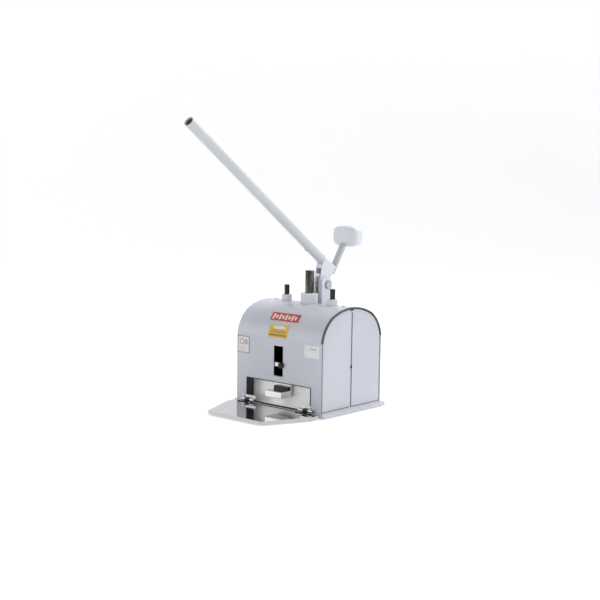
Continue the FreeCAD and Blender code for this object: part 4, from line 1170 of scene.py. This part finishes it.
@dataclass
class Edgings:
    """Rubber strips round the mouth, along its sill and down the corners at the door end."""

    pattern: Pattern
    corner_radius: float = 0.6 * MM
    corner_foot: float = 1.0 * MM
    mouth_radius: float = 1.9 * MM
    mouth_half: float = 131.5 * MM
    mouth_foot: float = 4.0 * MM
    mouth_top: float = 75.0 * MM
    sill_half: float = 90.0 * MM
    sill_out: float = 2.7 * MM
    sill_rise: float = 1.9 * MM

    def strip(self, name: str, points: list[Point], radius: float) -> None:
        """Builds one strip.

        Args:
            name: its name.
            points: the points that it joins.
            radius: its radius.
        """
        self.pattern.bake(name, path_seed(points), "housing", "rubber", RUBBER, Radius=radius, Sides=8)

    def build(self) -> None:
        """Builds the strips from the cover's box."""
        low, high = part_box("housing_wrapper")
        left, right = -self.mouth_half, self.mouth_half
        foot, top = low.z + self.mouth_foot, low.z + self.mouth_top
        mouth = [(left, low.y, foot), (left, low.y, top), (right, low.y, top), (right, low.y, foot)]
        self.strip("mouth_edging", mouth, self.mouth_radius)
        sill = (low.y - self.sill_out, low.z + self.sill_rise)
        self.strip("mouth_sill", [(-self.sill_half, *sill), (self.sill_half, *sill)], self.mouth_radius)
        for side, y in (("front", low.y), ("rear", high.y)):
            corner = [(high.x, y, low.z + self.corner_foot), (high.x, y, low.z + WALL_RISE)]
            self.strip(f"{side}_corner_strip", corner, self.corner_radius)


@dataclass
class CollarRings:
    """Turned rings round the ram's collar and the two guide collars."""

    pattern: Pattern
    ram_radius: float = 27.0 * MM
    ram_drops: tuple[float, float] = (6.0 * MM, 11.0 * MM)
    ram_wire: float = 0.55 * MM
    guide_x: float = 94.0 * MM
    guide_radius: float = 16.0 * MM
    guide_drop: float = 5.0 * MM
    guide_wire: float = 0.5 * MM

    def ring(self, name: str, centre: Vector, radius: float, wire: float, count: int) -> None:
        """Builds one level ring.

        Args:
            name: its name.
            centre: its centre.
            radius: its radius.
            wire: the radius of its round section.
            count: how many points it has.
        """
        points = ring_points(centre, Vector((0, 0, 1)), radius, count)
        self.pattern.bake(name, path_seed(points, True), "housing", "white_paint", CAST_WHITE,
                          Radius=wire, Sides=8)

    def build(self) -> None:
        """Builds the rings."""
        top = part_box("ram_collar")[1].z
        for k, drop in enumerate(self.ram_drops):
            self.ring(f"ram_collar_ring_{k}", Vector((0, 0, top - drop)), self.ram_radius, self.ram_wire, 72)
        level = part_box("guide_collars")[1].z - self.guide_drop
        for side, x in (("left", -self.guide_x), ("right", self.guide_x)):
            centre = Vector((x, 0, level))
            self.ring(f"guide_collar_ring_{side}", centre, self.guide_radius, self.guide_wire, 56)


@dataclass
class TubeWeld:
    """The weld bead where the handle's tube meets its collar."""

    pattern: Pattern
    foot: tuple[float, float] = (52.9 * MM, 454.6 * MM)
    tube_radius: float = 15.0 * MM
    sunk: float = 0.4 * MM
    bead: float = 1.5 * MM

    def build(self) -> None:
        """Builds the bead round the tube's foot."""
        ring = ring_points(Vector((0, *self.foot)), HANDLE_WAY, self.tube_radius - self.sunk, 60)
        self.pattern.bake("tube_weld", path_seed(ring, True), "lever", "white_paint", HANDLE_WHITE,
                          Radius=self.bead, Spacing=self.bead, Seed=3)


@dataclass
class TubeEnd:
    """A sunk, slightly domed black plug in the open end of the handle, as painted shade of the tube's dark
    inside.
    """

    end: tuple[float, float] = (-513.9 * MM, 861.8 * MM)
    radius: float = 12.6 * MM
    edge: float = 0.8 * MM
    sunk: float = 5.0 * MM
    dome: float = 1.6 * MM
    length: float = 9.0 * MM
    rings: int = 5
    count: int = 40

    def profile(self) -> list[tuple[float, float]]:
        """Gives the plug's radius and height from its inner end to near the middle of its dome.

        Returns:
            The pairs in order.
        """
        inner = self.radius - self.edge
        pairs = [(self.radius, -self.length), (self.radius, -self.edge), (inner, 0.0)]
        for k in range(1, self.rings):
            r = inner * (1 - k / self.rings)
            pairs.append((r, self.dome * (1 - (r / self.radius) ** 2)))
        return pairs

    def build(self) -> None:
        """Builds the plug as a turned shape along the handle."""
        tip = Vector((0, *self.end)) - HANDLE_WAY * self.sunk
        verts, faces, profile, count = [], [], self.profile(), self.count
        for radius, rise in profile:
            verts += [Vector(p) for p in ring_points(tip + HANDLE_WAY * rise, HANDLE_WAY, radius, count)]
        for i in range(len(profile) - 1):
            for k in range(count):
                a, b = i * count + k, i * count + (k + 1) % count
                faces.append((a, b, b + count, a + count))
        last = (len(profile) - 1) * count
        faces += [tuple(range(count)), tuple(range(last, last + count))]
        # Painted shade: the black plug darkens the open end of the tube.
        mesh_piece("tube_shade_plug", verts, faces, RUBBER, "lever")


@dataclass
class Weight:
    """Cast counterweight with full soft edges, in place of the plain block."""

    half: tuple[float, float, float] = (50.5 * MM, 24.0 * MM, 34.0 * MM)
    power: float = 3.5
    steps: int = 26

    def surface(self, way: Vector) -> Vector:
        """Gives the casting's surface in a direction.

        Args:
            way: the direction from its centre.

        Returns:
            The point, from its centre.
        """
        reach = sum(abs(w / h) ** self.power for w, h in zip(way, self.half)) ** (-1 / self.power)
        return way * reach

    def build(self) -> None:
        """Builds the casting and puts it in place of the CAD block."""
        low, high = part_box("counterweight")
        centre = (low + high) / 2
        shape = bmesh.new()
        bmesh.ops.create_cube(shape, size=2.0)
        bmesh.ops.subdivide_edges(shape, edges=shape.edges[:], cuts=self.steps, use_grid_fill=True)
        shape.verts.index_update()
        verts = []
        # Even angles across each side keep its faces nearly one size.
        for vertex in shape.verts:
            way = Vector(math.tan(c * math.pi / 4) * h for c, h in zip(vertex.co, self.half))
            verts.append(centre + self.surface(way))
        faces = [tuple(v.index for v in face.verts) for face in shape.faces]
        shape.free()
        piece = mesh_piece("cast_weight", verts, faces, CAST_WHITE, "lever", True)
        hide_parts("counterweight")


@dataclass
class ThumbKnurl:
    """Fine ribs round the rim of the thumb screw."""

    pattern: Pattern
    ribs: int = 28
    radius: float = 9.0 * MM
    rim_back: float = 4.0 * MM
    rib_radius: float = 0.55 * MM
    rib_length: float = 6.4 * MM

    def build(self) -> None:
        """Builds the ribs."""
        low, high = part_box("thumb_screw")
        centre = Vector(((low.x + high.x) / 2, low.y + self.rim_back, (low.z + high.z) / 2))
        way = Vector((0, 1, 0))
        places = [(Vector(p), way) for p in ring_points(centre, way, self.radius, self.ribs)]
        self.pattern.bake("thumb_screw_ribs", point_seed(places), "ram", "dark_steel", GUIDE_BLACK,
                          Radius=self.rib_radius, Depth=self.rib_length, Sides=6)


# --- stage, light and camera --------------------------------------------------------------------
@dataclass(frozen=True)
class Studio:
    """Pale floor, soft light and the camera, with angles in degrees and the floor's sizes in metres."""

    azimuth: float = 41.41
    pitch: float = 6.59
    roll: float = 0.79
    lens: float = 70.6
    sensor: float = 36.0
    place: Point = (2.383, -2.746, 0.750)
    aim: Point = (0, 0, 0.3)
    flat: float = 4.6
    bowl: float = 2.0
    wall: float = 5.0
    steps: int = 10
    spokes: int = 72
    paper: Colour = (0.70, 0.70, 0.70)
    paper_glow: float = 0.42
    sky: Colour = (0.93, 0.95, 1.0)
    sky_strength: float = 0.42

    def floor_mesh(self) -> bpy.types.Mesh:
        """Builds the mesh of a wide round floor that curves up to a wall all round.

        Returns:
            The mesh.
        """
        profile = [(self.flat, 0.0)]
        for k in range(1, self.steps + 1):
            a = math.pi / 2 * k / self.steps
            profile.append((self.flat + self.bowl * math.sin(a), self.bowl * (1 - math.cos(a))))
        profile.append((self.flat + self.bowl, self.wall))
        turns = [2 * math.pi * k / self.spokes for k in range(self.spokes)]
        verts, faces = [(0, 0, 0)], []
        for d, z in profile:
            verts += [(d * math.cos(a), d * math.sin(a), z) for a in turns]
        for k in range(self.spokes):
            following = (k + 1) % self.spokes
            faces.append((0, 1 + k, 1 + following))
            for row in range(len(profile) - 1):
                a, b = 1 + row * self.spokes + k, 1 + row * self.spokes + following
                faces.append((a, a + self.spokes, b + self.spokes, b))
        mesh = bpy.data.meshes.new("studio_floor")
        mesh.from_pydata(verts, [], faces)
        for polygon in mesh.polygons:
            polygon.use_smooth = True
        return mesh

    def floor(self) -> None:
        """Places the pale floor."""
        sheet = placed("studio_floor", self.floor_mesh())
        s = Shader("studio_paper")
        s.bsdf.inputs["Base Color"].default_value = shade(self.paper)
        s.bsdf.inputs["Roughness"].default_value = 0.85
        s.bsdf.inputs["Emission Color"].default_value = (1.0, 1.0, 1.0, 1)
        s.bsdf.inputs["Emission Strength"].default_value = self.paper_glow
        sheet.data.materials.append(s.material)

    def lamp(self, name: str, place: Point, size: float, power: float) -> None:
        """Adds a soft square lamp aimed at the middle of the press.

        Args:
            name: the lamp's name.
            place: where it hangs.
            size: its side in metres.
            power: its power in watts.
        """
        data = bpy.data.lights.new(name, "AREA")
        data.size = size
        data.energy = power
        lamp = placed(name, data)
        lamp.location = place
        lamp.rotation_euler = (Vector(place) - Vector(self.aim)).to_track_quat("Z", "Y").to_euler()

    def light(self) -> None:
        """Adds the lamps and a pale sky."""
        self.lamp("overhead", place=(0.2, 1.5, 2.9), size=2.4, power=96)
        self.lamp("end_side", place=(3.0, 0.2, 2.0), size=2.0, power=22)
        self.lamp("front_left", place=(-2.2, -2.6, 1.0), size=1.8, power=9)
        world = bpy.data.worlds.new("pale_sky")
        world.use_nodes = True
        world.node_tree.nodes["Background"].inputs[0].default_value = shade(self.sky)
        world.node_tree.nodes["Background"].inputs[1].default_value = self.sky_strength
        bpy.context.scene.world = world
        bpy.context.scene.view_settings.view_transform = "Standard"

    def camera(self) -> None:
        """Adds the camera."""
        a, e, r = (math.radians(v) for v in (self.azimuth, self.pitch, self.roll))
        back = Vector((math.sin(a) * math.cos(e), -math.cos(a) * math.cos(e), math.sin(e)))
        right = Vector((math.cos(a), math.sin(a), 0))
        up = back.cross(right)
        tilted_right = right * math.cos(r) + up * math.sin(r)
        tilted_up = up * math.cos(r) - right * math.sin(r)
        data = bpy.data.cameras.new("view")
        data.lens = self.lens
        data.sensor_width = self.sensor
        camera = placed("view", data)
        matrix = camera.matrix_world.copy()
        for row in range(3):
            matrix[row] = (tilted_right[row], tilted_up[row], back[row], self.place[row])
        camera.matrix_world = matrix
        bpy.context.scene.camera = camera


def main() -> None:
    """Builds the press's looks."""
    dress_cad()
    Labels().build()
    strips, welds, studs = strip_pattern(), weld_pattern(), stud_pattern()
    for part in (Edgings(strips), CollarRings(strips), TubeWeld(welds), ScrewSocketShades(studs),
                 ThumbKnurl(studs), TubeEnd(), Weight()):
        part.build()
    studio = Studio()
    studio.floor()
    studio.light()
    studio.camera()


if __name__ == "__main__":
    main()
